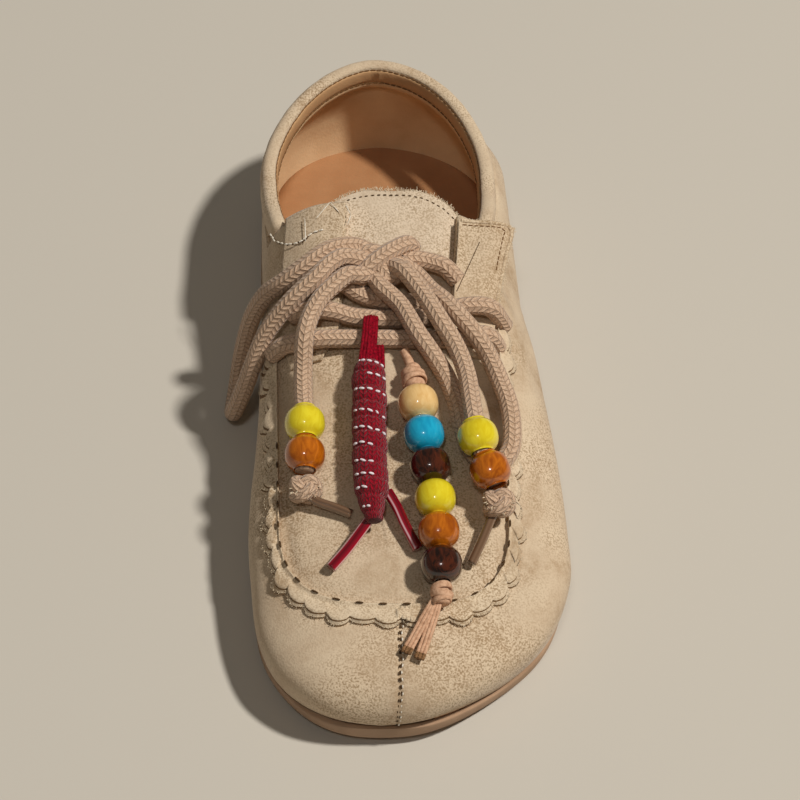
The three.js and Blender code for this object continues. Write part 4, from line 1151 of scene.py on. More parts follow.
TOE_SEAM = [
    (1.7, -101.6, 31.8), (1.1, -107.6, 31.1), (1.3, -113.8, 29.6), (0.8, -117.4, 28.2),
    (1.2, -120.8, 25.8), (0.8, -124, 21.2), (0.7, -125.4, 16), (0.4, -125.2, 11),
]
# Part of the apron line along which its inner stitches run
INNER_LINE_START = 0.16
INNER_LINE_END = 0.86
INNER_LINE_STEPS = 26
# Height of the stitches over the upper beside the throat
SEAM_LIFT = 2.2
# Plan routes of the stitches round the throat
MEDIAL_SEAM = [(-37.2, 41), (-35, 35.4), (-31, 32), (-27, 31.2), (-23.5, 33.2), (-19.5, 33.6)]
TONGUE_STITCHES = [
    (-19, 42.6), (-13.8, 45.8), (-6.4, 47.9), (3, 48.4), (12, 47.8), (19, 45.4), (24, 41.6),
    (26.4, 35),
]
TONGUE_EDGE = [
    (-20, 43.6), (-14.6, 47.4), (-6.8, 49.8), (3, 50.2), (12.6, 49.6), (20.4, 47.2), (25.6, 43),
    (28.2, 36),
]
THROAT_THREADS = [
    ((-22, 38), (-17.5, 43)), ((-17.5, 43), (-14.5, 39)), ((-12.4, 41.6), (-10.8, 38)),
    ((-10.8, 38), (-12, 34.5)), ((-25.8, 39), (-25.6, 30.5)),
]


def on_surface(spots, lift, rise=0):
    """Points over plan spots on the upper grown by lift, and raised by rise."""
    return [Vector((x, y, surface_height(x, y, lift) + rise)) for x, y in spots]


def make_seams():
    """Running stitches of the apron, the toe's centre seam and the stitches round the throat."""
    lift = RIM_LIFT + RIM_THICKNESS
    shares = spread(INNER_LINE_START, INNER_LINE_END, INNER_LINE_STEPS)
    line = [apron_point(s, RIM_SIDE_WIDTH - 0.5, RIM_TOE_WIDTH - 0.7) for s in shares]
    dash_row("dark", on_surface(line, lift, 0.05), pitch=7.1, length=2.4, radius=0.34)
    for kind, aside in (("dark", -0.45), ("light", 0.45)):
        seam = [Vector(p) + Vector((aside, -0.1, 0.1)) for p in TOE_SEAM]
        dash_row(kind, seam, pitch=2.1, length=1, radius=0.24, wobble=0.15)
    seam = [Vector(p) for p in TOE_SEAM]
    dash_row("dark", seam, pitch=2.1, length=1.3, radius=0.2, wobble=0.2)
    seam = on_surface(MEDIAL_SEAM, SEAM_LIFT)
    dash_row("light", seam, pitch=2, length=1.4, radius=0.3, wobble=0.2)
    seam = on_surface(MEDIAL_SEAM, SEAM_LIFT - 0.2)
    dash_row("dark", seam, pitch=1.9, length=0.8, radius=0.28, wobble=0.4)
    seam = on_surface(TONGUE_STITCHES, -TONGUE_DROP, 0.05)
    dash_row("dark", seam, pitch=2, length=1.1, radius=0.24, wobble=0.1)
    edge = on_surface(TONGUE_EDGE, -TONGUE_DROP, -0.4)
    fuzz_row(edge, lambda p: Vector((p.x * 0.02, 1, 0.3)), pitch=0.16, length=1.3)
    for ends in THROAT_THREADS:
        threads["light"].capsule(*on_surface(ends, SEAM_LIFT + 0.1), 0.16)


# Sole and insole

# The sole's edge from below to above: how far it stands in, and its share of the thickness
SOLE_EDGE = (
    (6, 0), (2.4, 0), (1.5, 0.07), (0.9, 0.16), (0.5, 0.28), (0.3, 0.4), (0.1, 0.5), (0, 0.62),
    (0, 0.8), (0.05, 0.88), (0.25, 0.95), (0.6, 1), (6, 1),
)
SOLE_STATIONS = {"toe": 40, "middle": 90, "heel": 36}


def sole_ring(y):
    medial, lateral = outline_at(y)
    centre = (medial + lateral) / 2
    low = sole_under(y)
    thick = sole_top(y) - low

    def side(edge):
        half = edge - centre
        sign = math.copysign(1, half)
        return [
            Vector((edge - sign * min(amount, abs(half) * 0.5), y, low + thick * rise))
            for amount, rise in SOLE_EDGE
        ]

    return side(medial) + side(lateral)[::-1]


def make_outsole():
    count = SOLE_STATIONS
    middle = spread(TOE_START_Y, HEEL_START_Y, count["middle"])
    ys = stations(TOE_Y, HEEL_Y, count["toe"], middle, count["heel"])
    shape = Shape()
    shape.grid([sole_ring(y) for y in ys], closed_across=True)
    sole = shape.build("rubber_outsole")
    clean(sole)
    return finish_piece(sole, "rubber_sole", [RUBBER], "outsole")


INSOLE_EDGE_GAP = 0.15
INSOLE_EDGE_ROUND = 0.3
INSOLE_TOE_GAP = 1
INSOLE_HEEL_GAP = 0.6
INSOLE_END_STATIONS = 24
INSOLE_MIDDLE_STATIONS = 60
INSOLE_STEPS = 20


def make_insole():
    """Sock that meets the lining all round at its own height and is a little dished."""
    inset = WALL + INSOLE_EDGE_GAP
    front = TOE_Y + TOE_SETBACK + inset + INSOLE_TOE_GAP
    back = HEEL_Y - HEEL_SETBACK - inset - INSOLE_HEEL_GAP
    middle = spread(TOE_START_Y, HEEL_START_Y, INSOLE_MIDDLE_STATIONS)
    ys = stations(front, back, INSOLE_END_STATIONS, middle, INSOLE_END_STATIONS)
    rows = []
    for y in ys:
        section = Section(y, -inset)
        foot = section.foot
        top = foot + INSOLE_THICKNESS
        share = section.share_at_height(top)
        medial = section.point(-1, share).x
        lateral = section.point(1, share).x
        side = top - INSOLE_EDGE_ROUND
        row = [Vector((medial + 1, y, foot)), Vector((medial, y, side))]
        for t in spread(0, 1, INSOLE_STEPS):
            row.append(Vector((mix(medial, lateral, t), y, top - 0.4 + 0.5 * (2 * t - 1) ** 8)))
        row += [Vector((lateral, y, side)), Vector((lateral - 1, y, foot))]
        rows.append(row)
    shape = Shape()
    shape.grid(rows, closed_across=True)
    insole = shape.build("insole_sock")
    clean(insole)
    return finish_piece(insole, "insole_cover", [INSOLE_COVER], "insole")


# Collar

def collar_point(t):
    """Point of the collar band's middle: t is 0 at the medial front and 1 at the lateral front."""
    heel_span = HEEL_Y - HEEL_SETBACK - COLLAR_ROUND_Y
    side_span = COLLAR_ROUND_Y - COLLAR_FRONT_Y - GAP
    straight = side_span / (side_span + heel_span * COLLAR_BEND_STRETCH)
    side = -1 if t < 0.5 else 1
    s = t * 2 if t < 0.5 else (1 - t) * 2
    if s < straight:
        y = COLLAR_FRONT_Y + GAP + side_span * s / straight
    else:
        angle = math.pi / 2 * (s - straight) / (1 - straight)
        y = COLLAR_ROUND_Y + (heel_span - COLLAR_INSET) * math.sin(angle)
    z = column(TOPLINE, "height", y) - COLLAR_HEIGHT / 2 + GAP
    section = Section(y, -COLLAR_INSET)
    rise = min(1, (z - section.bulge) / (section.crown - section.bulge))
    edge, centre = section.edges(side, z)
    x = centre + (edge - centre) * round_end(rise, section.power)
    return Vector((x + lean_at(y, z), y + heel_shift(y, z), z))


COLLAR_STATIONS = 170
COLLAR_SIDES = 60
# Places of the two stitched lines round the collar's section, as shares of a turn
ROLL_LINE = 0.385
BINDING_LINE = 0.53
LINING_END = 0.76
GROOVE_WIDTH = 0.012
GROOVE_DEPTH = 0.14
# The collar's ends are rounded off over a few stations, down to this share of its section
COLLAR_END_STATIONS = 3
COLLAR_END_SCALE = 0.7
# Uneven padding along the collar, as a share of its thickness
COLLAR_PUFF = 0.025
COLLAR_WIDE_POWER = 0.8
COLLAR_TALL_POWER = 0.7


def make_collar():
    path = [collar_point(i / COLLAR_STATIONS) for i in range(COLLAR_STATIONS + 1)]
    rings = []
    lines = {ROLL_LINE: [], BINDING_LINE: []}
    for i, point in enumerate(path):
        before = path[max(i - 1, 0)]
        after = path[min(i + 1, COLLAR_STATIONS)]
        along = (after - before).to_2d().normalized()
        if i in (0, COLLAR_STATIONS):
            along = Vector((0, 1 if i == 0 else -1))
        out = Vector((-along.y, along.x, 0))
        from_end = min(1, min(i, COLLAR_STATIONS - i) / COLLAR_END_STATIONS)
        size = mix(COLLAR_END_SCALE, 1, round_end(1 - from_end, 2))
        puff = 1 + COLLAR_PUFF * math.sin(i * 0.9) * math.sin(i * 0.23)

        def place(turn, sink):
            c = math.cos(2 * math.pi * turn)
            s = math.sin(2 * math.pi * turn)
            wide = COLLAR_THICKNESS / 2 * math.copysign(abs(c) ** COLLAR_WIDE_POWER, c) * puff
            tall = (COLLAR_HEIGHT / 2 - GAP) * math.copysign(abs(s) ** COLLAR_TALL_POWER, s)
            return point + (out * wide + UP * tall) * (size * (1 - sink))

        spots = []
        for k in range(COLLAR_SIDES):
            turn = k / COLLAR_SIDES
            groove = max(math.exp(-((turn - line) / GROOVE_WIDTH) ** 2) for line in lines)
            spots.append(place(turn, GROOVE_DEPTH * groove))
        rings.append(spots)
        for line, spots in lines.items():
            spots.append(place(line, 0.05))
    for spots in lines.values():
        dash_row("brown", spots, pitch=2.1, length=1.9, radius=0.24, wobble=0.06)
    shape = Shape()

    def look(_, k):
        turn = (k + 0.5) / COLLAR_SIDES
        if turn < ROLL_LINE or turn > LINING_END:
            return 0
        return 1 if turn < BINDING_LINE else 2

    shape.loft(rings, look)
    collar = shape.build("collar_padded")
    clean(collar)
    finish_piece(collar, "suede", [SUEDE, BINDING, LINING], "collar")
    return collar


# Tongue and eyestays

def make_slab(name, ys, across, top_and_bottom, material, node):
    """Closed sheet of suede; top_and_bottom(y, t) gives its two faces at t across it."""
    rings = []
    for y in ys:
        pairs = [top_and_bottom(y, t) for t in spread(0, 1, across)]
        rings.append([top for top, _ in pairs] + [bottom for _, bottom in reversed(pairs)])
    shape = Shape()
    shape.loft(rings)
    slab = shape.build(name)
    clean(slab)
    return finish_piece(slab, "suede", [material], node)


# The tongue's sides are rounded off over the outer share of its half width
TONGUE_EDGE_SHARE = 0.06
TONGUE_EDGE_ROUND = 0.9
TONGUE_WAVE = 0.35


def make_tongue():
    def faces(y, t):
        x = mix(column(TONGUE, "medial", y), column(TONGUE, "lateral", y), t)
        aside = abs(2 * t - 1)
        edge = TONGUE_EDGE_ROUND * max(0, aside - 1 + TONGUE_EDGE_SHARE) / TONGUE_EDGE_SHARE
        z = surface_height(x, y, -TONGUE_DROP)
        wave = TONGUE_WAVE * math.sin(x * 0.24 + 1) * math.sin(y * 0.21) * (1 - aside)
        return Vector((x, y, z - edge + wave)), Vector((x, y, z - TONGUE_THICKNESS + edge))

    ys = spread(TONGUE[0]["y"], TONGUE[-1]["y"], 90)
    return make_slab("tongue_flap", ys, 60, faces, TONGUE_SUEDE, "tongue")


EYESTAY_THIN_FROM = 0.35
EYESTAY_EDGE_ROUND = 0.3


def eyestay_point(rows, y, t, lift=0.0):
    """Underside of an eyestay at y, for t from its inner to its outer edge."""
    inner = column(rows, "inner", y)
    outer = column(rows, "outer", y)
    fold = min(1, max(0, column(rows, "fold", y)))
    start = surface_height(inner, y, EYESTAY_LIFT)
    x = mix(inner, outer, t)
    lying = surface_height(x, y, EYESTAY_LIFT) if fold < 1 else start
    curl = fold * (1.2 * math.sin(math.pi * t) - 0.5 * math.sin(2 * math.pi * t))
    z = mix(lying, mix(start, column(rows, "edge_height", y), t), fold) + curl
    return Vector((x, y, z + lift))


def make_eyestay(name, rows, node, feather, overrun):
    """feather thins the strip towards its outer edge, so that it lies flush; overrun is how far
    the strip goes on, level, past the last row."""
    last = rows[-1]["y"]

    def faces(y, t):
        spot = eyestay_point(rows, min(y, last), t)
        spot.y = y
        thin = feather * smoothstep(t, EYESTAY_THIN_FROM, 1)
        edge = EYESTAY_EDGE_ROUND * (1 - feather) if t in (0, 1) else 0
        down = UP * (0.5 * thin - edge)
        return spot + UP * (EYESTAY_THICKNESS * (1 - thin)) - down, spot - down * 0.9

    ys = spread(rows[0]["y"], last + overrun, 70)
    return make_slab(name, ys, 30, faces, SUEDE, node)


# Spots of the turned-out flap's crease, drawn as a dark line of painted shade, and of its
# pricks, as a place along the foot and a share of the way to its outer edge
FLAP_CREASE = ((31, 0.42), (24, 0.3), (16, 0.14), (12, 0.05))
FLAP_PRICKS = (
    (36, 0.2), (36.4, 0.5), (35.2, 0.8), (33, 0.35), (32.4, 0.62), (29.6, 0.48), (28.6, 0.75),
)
FLAP_ROLL_RADIUS = 0.75
FLAP_SEAM_SHARE = 0.84


def flap_route(lift, *spots):
    return [eyestay_point(EYESTAY_LATERAL, y, t, lift) for y, t in spots]


def make_flap_edge():
    """The flap's turned edge: a thin roll round its top and its outer side."""
    top = [(38.6, t) for t in (0.04, 0.3, 0.6, 0.9)]
    side = [(y, 0.97) for y in (36.5, 30, 22, 14, 8)]
    shape = Shape()
    add_rope(shape, flap_route(1.3, *top, *side), FLAP_ROLL_RADIUS, ROPE_STEP, 10)
    return finish_piece(shape.build("eyestay_lateral_edge"), "suede", [EDGE_SUEDE])


def make_eyestay_details():
    """Crease line of painted shade, pricks, raw edges and seam of the turned-out flap, and the medial
    raw edge.
    """
    lift = EYESTAY_THICKNESS + 0.05
    # The crease is drawn as a thin dark line: painted shade of the fold.
    dash_row("dark", flap_route(lift, *FLAP_CREASE), pitch=0.9, length=0.9, radius=0.16)
    for spot in flap_route(lift - 0.12, *FLAP_PRICKS):
        threads["dark"].capsule(spot - UP * 0.3, spot + UP * 0.15, 0.38)
    top = flap_route(1, *[(39, t) for t in (0, 0.25, 0.5, 0.75, 1)])
    fuzz_row(top, lambda p: Vector((0, 1, 0.2)), pitch=0.12, length=0.9)
    outer = flap_route(1, *[(y, 1) for y in (8, 16, 24, 32, 39)])
    fuzz_row(outer, lambda p: Vector((1, 0, 0.1)), pitch=0.2, length=0.8)
    seam = [(37, t) for t in (0.06, 0.3, 0.6, FLAP_SEAM_SHARE)]
    seam += [(y, FLAP_SEAM_SHARE) for y in (34, 28, 22)]
    dash_row("brown", flap_route(lift, *seam), pitch=1.9, length=1.5, radius=0.22)
    inner = [eyestay_point(EYESTAY_MEDIAL, y, 0, 1) for y in (0, 12, 24, 34, 41)]
    fuzz_row(inner, lambda p: Vector((1, 0, 0.3)), pitch=0.25, length=0.7)


# Apron rim

# Across the rim: share of the way in, height, and whether a cut edge starts there; cut edges are dark,
# partly their own colour and partly painted shade under each scallop
RIM_PROFILE = (
    (0, 0.1, True), (0, 0.72, False), (0.1, 0.76, True), (0.1, 1.5, False), (0.26, 1.65, False),
    (0.5, 1.4, False), (0.68, 1, False), (0.8, 0.85, False), (0.87, 1.35, False),
    (0.93, 1.55, False), (0.98, 1.2, False), (1, 0.3, False),
)
RIM_FINE_STEPS = 1000
SCALLOP_STEPS = 16
# The upper layer's edge lies behind the lower one's
LAYER_SETBACK = 0.25
RIM_SINK = 0.2


def make_apron_rim():
    """Two scalloped layers that end in a rolled ridge on the plug's side."""
    line = [apron_point(s) for s in spread(0, 1, RIM_FINE_STEPS)]
    travelled = [0]
    for a, b in zip(line, line[1:]):
        travelled.append(travelled[-1] + (b - a).length)
    count = round(travelled[-1] / SCALLOP_PITCH) * SCALLOP_STEPS
    rings = []
    outline = []
    i = 1
    for k in range(count + 1):
        while i < RIM_FINE_STEPS and travelled[i] < travelled[-1] * k / count:
            i += 1
        along = (line[i] - line[i - 1]).normalized()
        out = Vector((along.y, -along.x))
        if out.dot(line[i] - Vector((RIM_TIP_X, RIM_START_Y))) < 0:
            out = -out
        wave = math.sin(math.pi * (k % SCALLOP_STEPS) / SCALLOP_STEPS) ** 0.7
        unevenness = 0.8 + 0.35 * math.sin(k // SCALLOP_STEPS * 2.4)
        bite = SCALLOP_DEPTH * 1.9 * unevenness * wave
        inner = apron_point(i / RIM_FINE_STEPS, RIM_SIDE_WIDTH, RIM_TOE_WIDTH)
        spots = []
        for share, height, _ in RIM_PROFILE:
            spot = (line[i] + out * (bite * (0.95 if share else 1))).lerp(inner, share)
            if 0 < share < 0.2:
                spot = spot - out * LAYER_SETBACK
            spots.append(Vector((*spot, surface_height(*spot, RIM_LIFT + height - RIM_SINK))))
        outline.append(spots[1].copy())
        under = [(line[i] + out * bite).lerp(inner, share) for share in (1, 0.5, 0)]
        rings.append(spots + on_surface(under, -RIM_SINK))
    shaded_cuts = [cut for _, _, cut in RIM_PROFILE]
    shape = Shape()
    # Cut-edge walls take the dark finish that also paints the shade under each scallop.
    shape.loft(rings, look=lambda r, c: int(c < len(shaded_cuts) and shaded_cuts[c]))
    rim = shape.build("apron_scallops")
    clean(rim)
    edge = outline[::4]
    fuzz_row(edge, lambda p: Vector((p.x * 0.02, -0.4, 0.5)), pitch=0.35, length=0.55)
    return finish_piece(rim, "suede", [EDGE_SUEDE, CUT_EDGE_AND_SHADE], "apron_rim")


# Cords

# The braid stands a little proud of the plain cord
LACE_RADIUS = LACE_DIAMETER / 2 + 0.4
LACE_SIDES = 32
LACE_STEP = 0.5


def make_lace(name, points, node):
    shape = Shape()
    path = add_rope(shape, points, LACE_RADIUS, LACE_STEP, LACE_SIDES)
    return finish_piece(shape.build(name), "lace_braid", [BRAID], node), path


def declare_cord(thing, path):
    in_metres(path[0])
    route_length(path) * MM
    [in_metres(p) for p in path]


# The lace knot: a wrap that lies over it and the strands that go into it
KNOT_WRAPS = [
    [
        (-9, 13.5, 58.6), (-6.4, 15.4, 62.4), (-2, 18.6, 64.4), (3, 22.4, 64.6), (7, 25.4, 63.4),
        (9, 26.4, 60.4),
    ],
    [(-8.5, 22, 61.6), (-4, 22.6, 62.4), (0.5, 21.4, 61), (4.6, 18, 61.2), (8, 15.4, 59)],
    [(-6, 18.8, 62.2), (-2, 16.4, 61.8), (1.4, 13.4, 60.6), (4.4, 15.4, 61.6), (5.4, 19.4, 60.4)],
]


def make_lace_knot():
    shape = Shape()
    for points in KNOT_WRAPS:
        add_rope(shape, points, LACE_RADIUS, LACE_STEP, LACE_SIDES)
    return finish_piece(shape.build("lace_knot_wraps"), "lace_braid", [BRAID], "lace_knot")


# Overhand knot: its steps, its strand, and its size across and along
END_KNOT_STEPS = 60
END_KNOT_STRAND = 2.1
END_KNOT_SCALE = (0.24, 0.26, 0.7 / 1.5)
FRAY_COUNT = 60


def make_end_knot(side, centre):
    """Overhand knot of the lace with its cut, frayed end."""
    route = []
    for a in spread(0, 2 * math.pi, END_KNOT_STEPS):
        wide = 2 + math.cos(3 * a)
        curve = (wide * math.cos(2 * a), wide * math.sin(2 * a), math.sin(3 * a))
        sizes = zip(curve, END_KNOT_RADII, END_KNOT_SCALE)
        route.append(centre + Vector([value * radius * scale for value, radius, scale in sizes]))
    shape = Shape()
    add_rope(shape, route, END_KNOT_STRAND, 0.4, 24)
    for _ in range(FRAY_COUNT):
        angle = chance.uniform(0, 2 * math.pi)
        x = math.cos(angle)
        y = math.sin(angle)
        base = centre + Vector((x * 3.6, y * 3, chance.uniform(-1, 2.4)))
        tip = base + Vector((x, y - 0.4, 0.5)) * chance.uniform(0.6, 1.8)
        threads["fuzz"].capsule(base, tip, 0.12)
    name = f"end_knot_{side}"
    return finish_piece(shape.build(name + "_wraps"), "lace_braid", [BRAID], name)


# The thong's flat section in its knots, and the heights of the core under them
WRAP_WIDTH = 2.5
WRAP_THICKNESS = 1.1
KNOT_CORE = (-3, -1, 1, 3)


def make_thong_knot(name, centre, axis, radius, wraps, node):
    """Flat thong wound round itself: wraps gives each turn's height, slant and size."""
    shape = Shape()
    side = axis.cross(UP).normalized()
    up = side.cross(axis)
    for height, slant, size in wraps:
        circle = []
        for angle in turns(16) + [2 * math.pi]:
            turn = side * math.cos(angle) + up * math.sin(angle)
            rise = axis * (height + slant * math.cos(angle + 0.6))
            circle.append(centre + rise + turn * (radius * size))
        path = smooth_route(circle, ROPE_STEP)
        rings = []
        for spot, (across, lift, _) in zip(path, frames_along(path, axis)):
            rings.append(ring(spot, lift, across, WRAP_WIDTH / 2, WRAP_THICKNESS / 2, 12))
        shape.loft(rings)
    core = [centre + axis * height for height in KNOT_CORE]
    add_rope(shape, core, radius * 0.9, ROPE_STEP, 16)
    return finish_piece(shape.build(name), "thong_suede", [THONG_SUEDE], node)


BEAD_ROUNDING = 0.3
BEAD_LIP = 0.45
BEAD_POWER = 2.35
BEAD_STEPS = 26
BEAD_SIDES = 48
# The bore's edge, from inside the bead outwards: extra radius, share of the bead's half length
BEAD_EDGE = ((0, 0.5), (0, 0.9), (0.15, 0.97))


def make_bead(name, route, at, slot):
    axis = (Vector(route[at + 1]) - Vector(route[at - 1])).normalized()
    cord = THONG_DIAMETER if route is THONG else LACE_DIAMETER
    bore = cord / 2 + BORE_GAP
    half = BEAD_LENGTH / 2 + BEAD_ROUNDING
    radius = BEAD_DIAMETER / 2
    profile = [(bore + wide, -half * share) for wide, share in BEAD_EDGE]
    for i in range(BEAD_STEPS + 1):
        height = half * math.sin(math.pi * (i / BEAD_STEPS - 0.5))
        swell = radius * round_end(abs(height) / (half * 1.04), BEAD_POWER)
        profile.append((max(bore + BEAD_LIP, swell), height))
    profile += [(bore + wide, half * share) for wide, share in reversed(BEAD_EDGE)]
    side = axis.orthogonal().normalized()
    up = axis.cross(side)
    rings = []
    for r, height in profile:
        rings.append(ring(Vector(route[at]) + axis * height, side, up, r, r, BEAD_SIDES))
    shape = Shape()
    shape.grid(rings, closed_across=True, closed_along=True)
    bead = shape.build(name + "_gloss")
    clean(bead)
    return finish_piece(bead, slot, [BEAD_FINISHES[slot]], name)


def make_round(name, points, diameter, slot, material, node, sides=20):
    shape = Shape()
    path = add_rope(shape, points, diameter / 2, ROPE_STEP, sides)
    return finish_piece(shape.build(name), slot, [material], node), path


RIB_PITCH = 0.95
RIB_RADIUS = 0.62
# Share of a tail from which it shows its darker cut end
TAIL_CUT = 0.88


def make_tails():
    """Two flat tails, each of three narrow ribs, with darker cut ends."""
    shape = Shape()
    for number, (start, end) in enumerate(CHARM_TAILS):
        start = Vector(start) + Vector((0, 2.2, 0.5))
        end = Vector(end)
        across = (end - start).cross(UP).normalized()
        for rib in range(3):
            aside = across * ((rib - 1) * RIB_PITCH)
            sag = UP * (0.25 * (rib % 2) - 0.5)
            points = [
                start + aside * 0.55, start.lerp(end, 0.35) + aside + sag * 0.4,
                start.lerp(end, 0.7) + aside * 1.05 + sag, end + aside * (1.1 + 0.1 * number),
            ]
            rings = tube_rings(smooth_route(points, 0.5), RIB_RADIUS, 10)
            cut = (len(rings) - 1) * TAIL_CUT
            shape.loft(rings, look=lambda r, c: int(r > cut))
    tails = shape.build("charm_tail_strips")
    return finish_piece(tails, "thong_suede", [THONG_SUEDE, THONG_END], "charm_tails")


# Red charm: rows of white flecks as millimetres along the wrapped body, and their share of it
FLECK_ROWS = (
    (0.6, 0, 1), (5.4, 0.35, 1), (11, 0, 1), (18.6, 0, 1), (24.8, 0, 1), (30.4, 0, 0.6),
    (36.4, 0, 0.6), (41, 0, 0.5), (45.6, 0, 0.4), (51.5, 0, 0.3),
)
FLECKS_IN_ROW = 5
# Rise of a row along the body from its medial to its lateral end, and half a fleck's share of it
FLECK_SLANT = 2.4
FLECK_HALF = 0.065
FLECK_RADIUS = 0.42
# Angles round the body at a row's medial and lateral ends
FLECK_ANGLES = (158, 22)
BAND_PITCH = 5.4
BAND_SLANT = 0.12
BAND_DEPTH = 0.75


def make_red_body():
    path = smooth_route(RED_BODY, 0.4)
    length = route_length(path)
    step = length / (len(path) - 1)

    def radius(travelled):
        from_end = max(0, min(travelled, length - travelled))
        taper = 1 - 0.3 * smoothstep(travelled, length - 12, length - 4)
        return (RED_BODY_RADIUS + 0.2) * taper * min(1, 0.55 + 0.45 * math.sqrt(from_end / 5))

    def relief(travelled, angle):
        place = travelled / BAND_PITCH + BAND_SLANT * math.cos(angle) + 0.1
        swell = 0.15 * math.sin(math.floor(place) * 2.3 + angle)
        return swell - BAND_DEPTH * abs(2 * (place % 1) - 1) ** 5

    shape = Shape()
    shape.loft(tube_rings(path, radius, 48, relief), spacing=step)
    body = shape.build("red_charm_wrap")
    flecks = Shape()
    frames = frames_along(path)

    def fleck_end(row, t):
        """Point on the wrapped body; angles run from the medial to the lateral side over it."""
        angle = math.radians(mix(*FLECK_ANGLES, t))
        at = row + t * FLECK_SLANT + chance.uniform(-0.2, 0.2)
        i = min(len(path) - 1, max(0, round(at / step)))
        side, up, _ = frames[i]
        size = radius(i * step) + relief(i * step, angle) + 0.12
        return path[i] - side * (size * math.cos(angle)) + up * (size * math.sin(angle))

    for row, low, high in FLECK_ROWS:
        for k in range(FLECKS_IN_ROW):
            t = (k + 0.5) / FLECKS_IN_ROW
            if low <= t <= high:
                start = fleck_end(row, t - FLECK_HALF)
                flecks.capsule(start, fleck_end(row, t + FLECK_HALF), FLECK_RADIUS)
    finish_piece(flecks.build("red_charm_flecks"), "red_cord", [WHITE_FLECK])
    return finish_piece(body, "red_cord", [RED_CORD], "red_charm_body")


# Strands of the red charm's loop: those over the lace rows and those under them
RED_SLANT = 1.3
OVER_STRANDS = 5
OVER_PITCH = 1.12
OVER_RADIUS = 0.66
UNDER_STRANDS = 4
UNDER_PITCH = 1.05
UNDER_RADIUS = 0.62
OVER_ROUTE = [(-6.2, 0.6, 55)] + RED_LOOP + [(-6.4, -17.6, 55.4), (-6.5, -20, 54.2)]
UNDER_ROUTE = [(-4, -9.6, 53.6), (-4, -13.4, 54.6), (-4, -19, 54)]


def make_red_loop():
    """Thin strands side by side: one bundle over the lace row and one under it."""
    shape = Shape()
    for k in range(OVER_STRANDS):
        aside = (k - 2) * OVER_PITCH
        points = []
        for i, (x, y, z) in enumerate(OVER_ROUTE):
            slant = mix(RED_SLANT, -RED_SLANT, i / 5)
            points.append((x + slant + aside * mix(0.75, 1, i / 5), y, z - abs(aside) * 0.25))
        add_rope(shape, points, OVER_RADIUS, 0.5, 10)
    for k in range(UNDER_STRANDS):
        aside = (k - 1) * UNDER_PITCH
        add_rope(shape, [(x + aside, y, z) for x, y, z in UNDER_ROUTE], UNDER_RADIUS, 0.5, 10)
    strands = shape.build("red_charm_strands")
    return finish_piece(strands, "red_cord", [RED_STRAND], "red_charm_loop")


# Where each cord goes on into the knot or the row that holds it
BOWS = {
    "medial": [(-4.6, 23.4, 61.4)] + LOOP_MEDIAL + [(-5, 18.6, 61.4)],
    "lateral": [(-3.4, 12.8, 60.4)] + LOOP_LATERAL + [(5.6, 19.4, 60)],
}
TAILS = {
    "medial": [(-4.6, 15.6, 60.8)] + END_MEDIAL,
    "lateral": [(2.2, 16.8, 62.4)] + END_LATERAL,
}
AGLETS = {
    "medial": [(-25.4, -60, 40.6)] + AGLET_MEDIAL,
    "lateral": [(31, -68, 42.6)] + AGLET_LATERAL,
}
RED_TIPS = {
    "medial": [(-7.6, -69.5, 41.4)] + RED_END_MEDIAL,
    "lateral": [(-1.6, -60.6, 44)] + RED_END_LATERAL,
}
ROW_ENDS = {
    "lace_row_front": ((-36.6, -2.6, 41), (37.4, -3.6, 42.5)),
    "lace_row_middle": ((-30, 5.6, 51), (38.8, 6, 45.5)),
    "lace_row_top": ((-23.5, 17, 56.6), (11.5, 7.4, 53.6)),
    "lace_row_knot": ((5.4, 21.6, 60.2), (23.6, 16.6, 55.6)),
}
END_KNOTS = {"medial": END_KNOT_MEDIAL, "lateral": END_KNOT_LATERAL}

# The thong's knots: the route points before and after, radius, and height, slant and size of
# each turn
TOP_KNOT = (1, 3, 3, ((-2.6, 0.7, 0.75), (-0.6, -0.8, 1.1), (1.6, 0.6, 1.2), (3.2, -0.3, 0.9)))
BOTTOM_KNOT = (7, 9, 2.7, ((-2, 0.5, 1.05), (0.2, -0.7, 1.1), (1.9, 0.5, 0.9)))


def thong_knot(place, centre, before, after, radius, wraps):
    axis = (Vector(THONG[after]) - Vector(THONG[before])).normalized()
    node = f"charm_knot_{place}"
    return make_thong_knot(node + "_wraps", centre, axis, radius, wraps, node)


def make_cords():
    for name, points in LACE_ROWS.items():
        start, end = ROW_ENDS[name]
        make_lace(name.replace("lace_row", "lace_braid"), [start] + points + [end], name)
    beads = {name: make_bead(name, *rest) for name, rest in BEADS.items()}
    knot = make_lace_knot()
    end_knots = {side: make_end_knot(side, centre) for side, centre in END_KNOTS.items()}
    aglets = {}
    for side, points in AGLETS.items():
        aglets[side], _ = make_round(
            f"aglet_{side}_tip", points, AGLET_DIAMETER, "aglet", AGLET, f"aglet_{side}"
        )
    for side, points in BOWS.items():
        loop, path = make_lace(f"lace_bow_{side}", points, f"lace_loop_{side}")
        declare_cord(loop, path)
    for side, points in TAILS.items():
        lace, path = make_lace(f"lace_tail_{side}", points, f"lace_end_{side}")
        declare_cord(lace, path)
    thong, path = make_round(
        "charm_thong_cord", THONG, THONG_DIAMETER, "thong_suede", THONG_SUEDE, "charm_thong"
    )
    top_knot = thong_knot("top", Vector(THONG[2]), *TOP_KNOT)
    bottom_knot = thong_knot("bottom", CHARM_BOTTOM_KNOT, *BOTTOM_KNOT)
    tails = make_tails()
    declare_cord(thong, path)
    make_red_loop()
    make_red_body()
    for side, points in RED_TIPS.items():
        make_round(
            f"red_charm_tip_{side}", points, RED_END_DIAMETER, "red_cord", RED_SLEEVE,
            f"red_charm_end_{side}", 24,
        )


# Camera, light and floor

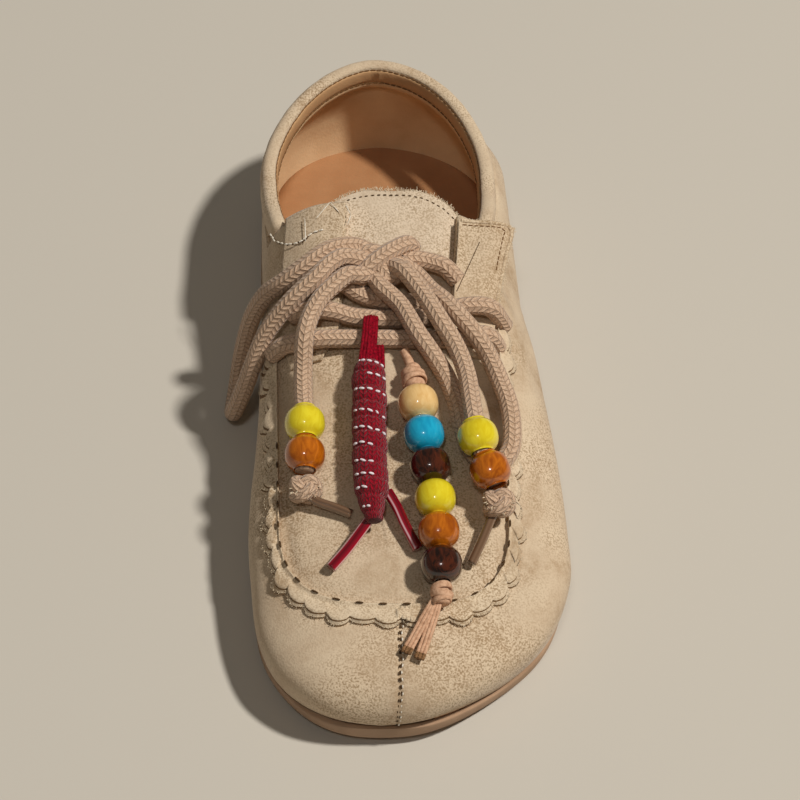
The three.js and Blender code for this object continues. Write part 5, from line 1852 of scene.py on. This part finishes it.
# The viewpoint, how far the photograph looks down, and the point in the middle of the picture
CAMERA_PLACE = Vector((-58.26, -586.86, 732.09))
CAMERA_PITCH = math.radians(50)
CAMERA_TARGET = Vector((-0.9, -8.4, 25))
CAMERA_LENS = 126


def make_camera():
    """The photograph's viewpoint, turned so that the shoe is in the middle of the picture."""
    pitch = CAMERA_PITCH
    forward = Vector((0, math.cos(pitch), -math.sin(pitch)))
    level = Matrix((
        (1, 0, 0),
        (0, math.sin(pitch), -math.cos(pitch)),
        (0, math.cos(pitch), math.sin(pitch)),
    )).to_quaternion()
    turn = forward.rotation_difference((CAMERA_TARGET - CAMERA_PLACE).normalized())
    data = bpy.data.cameras.new("camera")
    data.lens = CAMERA_LENS
    data.clip_end = 20
    camera = bpy.data.objects.new("camera", data)
    camera.rotation_mode = "QUATERNION"
    camera.rotation_quaternion = turn @ level
    camera.location = CAMERA_PLACE * MM
    bpy.context.scene.collection.objects.link(camera)
    bpy.context.scene.camera = camera


# Lights in metres and watts; the key leaves no glint, as the photograph shows none of it
LIGHT_TARGET = Vector((0, 0, 0.03))
FLOOR_HALF = 3000
FLOOR_COLOUR = (200, 193, 181)
WORLD_COLOUR = (1, 0.9, 0.76, 1)
WORLD_STRENGTH = 0.09


def add_light(name, place, size, power, colour, shine):
    data = bpy.data.lights.new(name, "AREA")
    data.shape = "DISK"
    data.size = size
    data.energy = power
    data.color = colour
    light = bpy.data.objects.new(name, data)
    light.location = place
    light.rotation_euler = (LIGHT_TARGET - Vector(place)).to_track_quat("-Z", "Y").to_euler()
    light.visible_glossy = shine
    bpy.context.scene.collection.objects.link(light)


def make_stage():
    half = FLOOR_HALF
    corners = [(-half, -half, 0), (half, -half, 0), (half, half, 0), (-half, half, 0)]
    floor = new_object("floor", corners, [(0, 1, 2, 3)])
    finish = Finish("floor_paint", roughness=0.6)
    finish.color(linear(*FLOOR_COLOUR))
    floor.data.materials.append(finish.material)
    world = bpy.data.worlds.new("studio")
    world.use_nodes = True
    background = world.node_tree.nodes["Background"]
    background.inputs["Color"].default_value = WORLD_COLOUR
    background.inputs["Strength"].default_value = WORLD_STRENGTH
    bpy.context.scene.world = world
    add_light("key", (1.92, -0.27, 3.5), 0.34, 146, (1, 0.975, 0.93), False)
    add_light("front", (-0.3, -1.1, 2.1), 0.24, 5.5, (1, 0.98, 0.95), True)


bpy.context.scene.view_settings.view_transform = "Standard"
make_stage()
make_camera()
make_cords()
make_upper()
make_outsole()
make_insole()
make_collar()
make_tongue()
make_eyestay("eyestay_medial_strip", EYESTAY_MEDIAL, "eyestay_medial", 0.6, 2.6)
make_eyestay("eyestay_lateral_flap", EYESTAY_LATERAL, "eyestay_lateral", 0, 0)
make_flap_edge()
make_eyestay_details()
make_apron_rim()
make_seams()
build_threads()
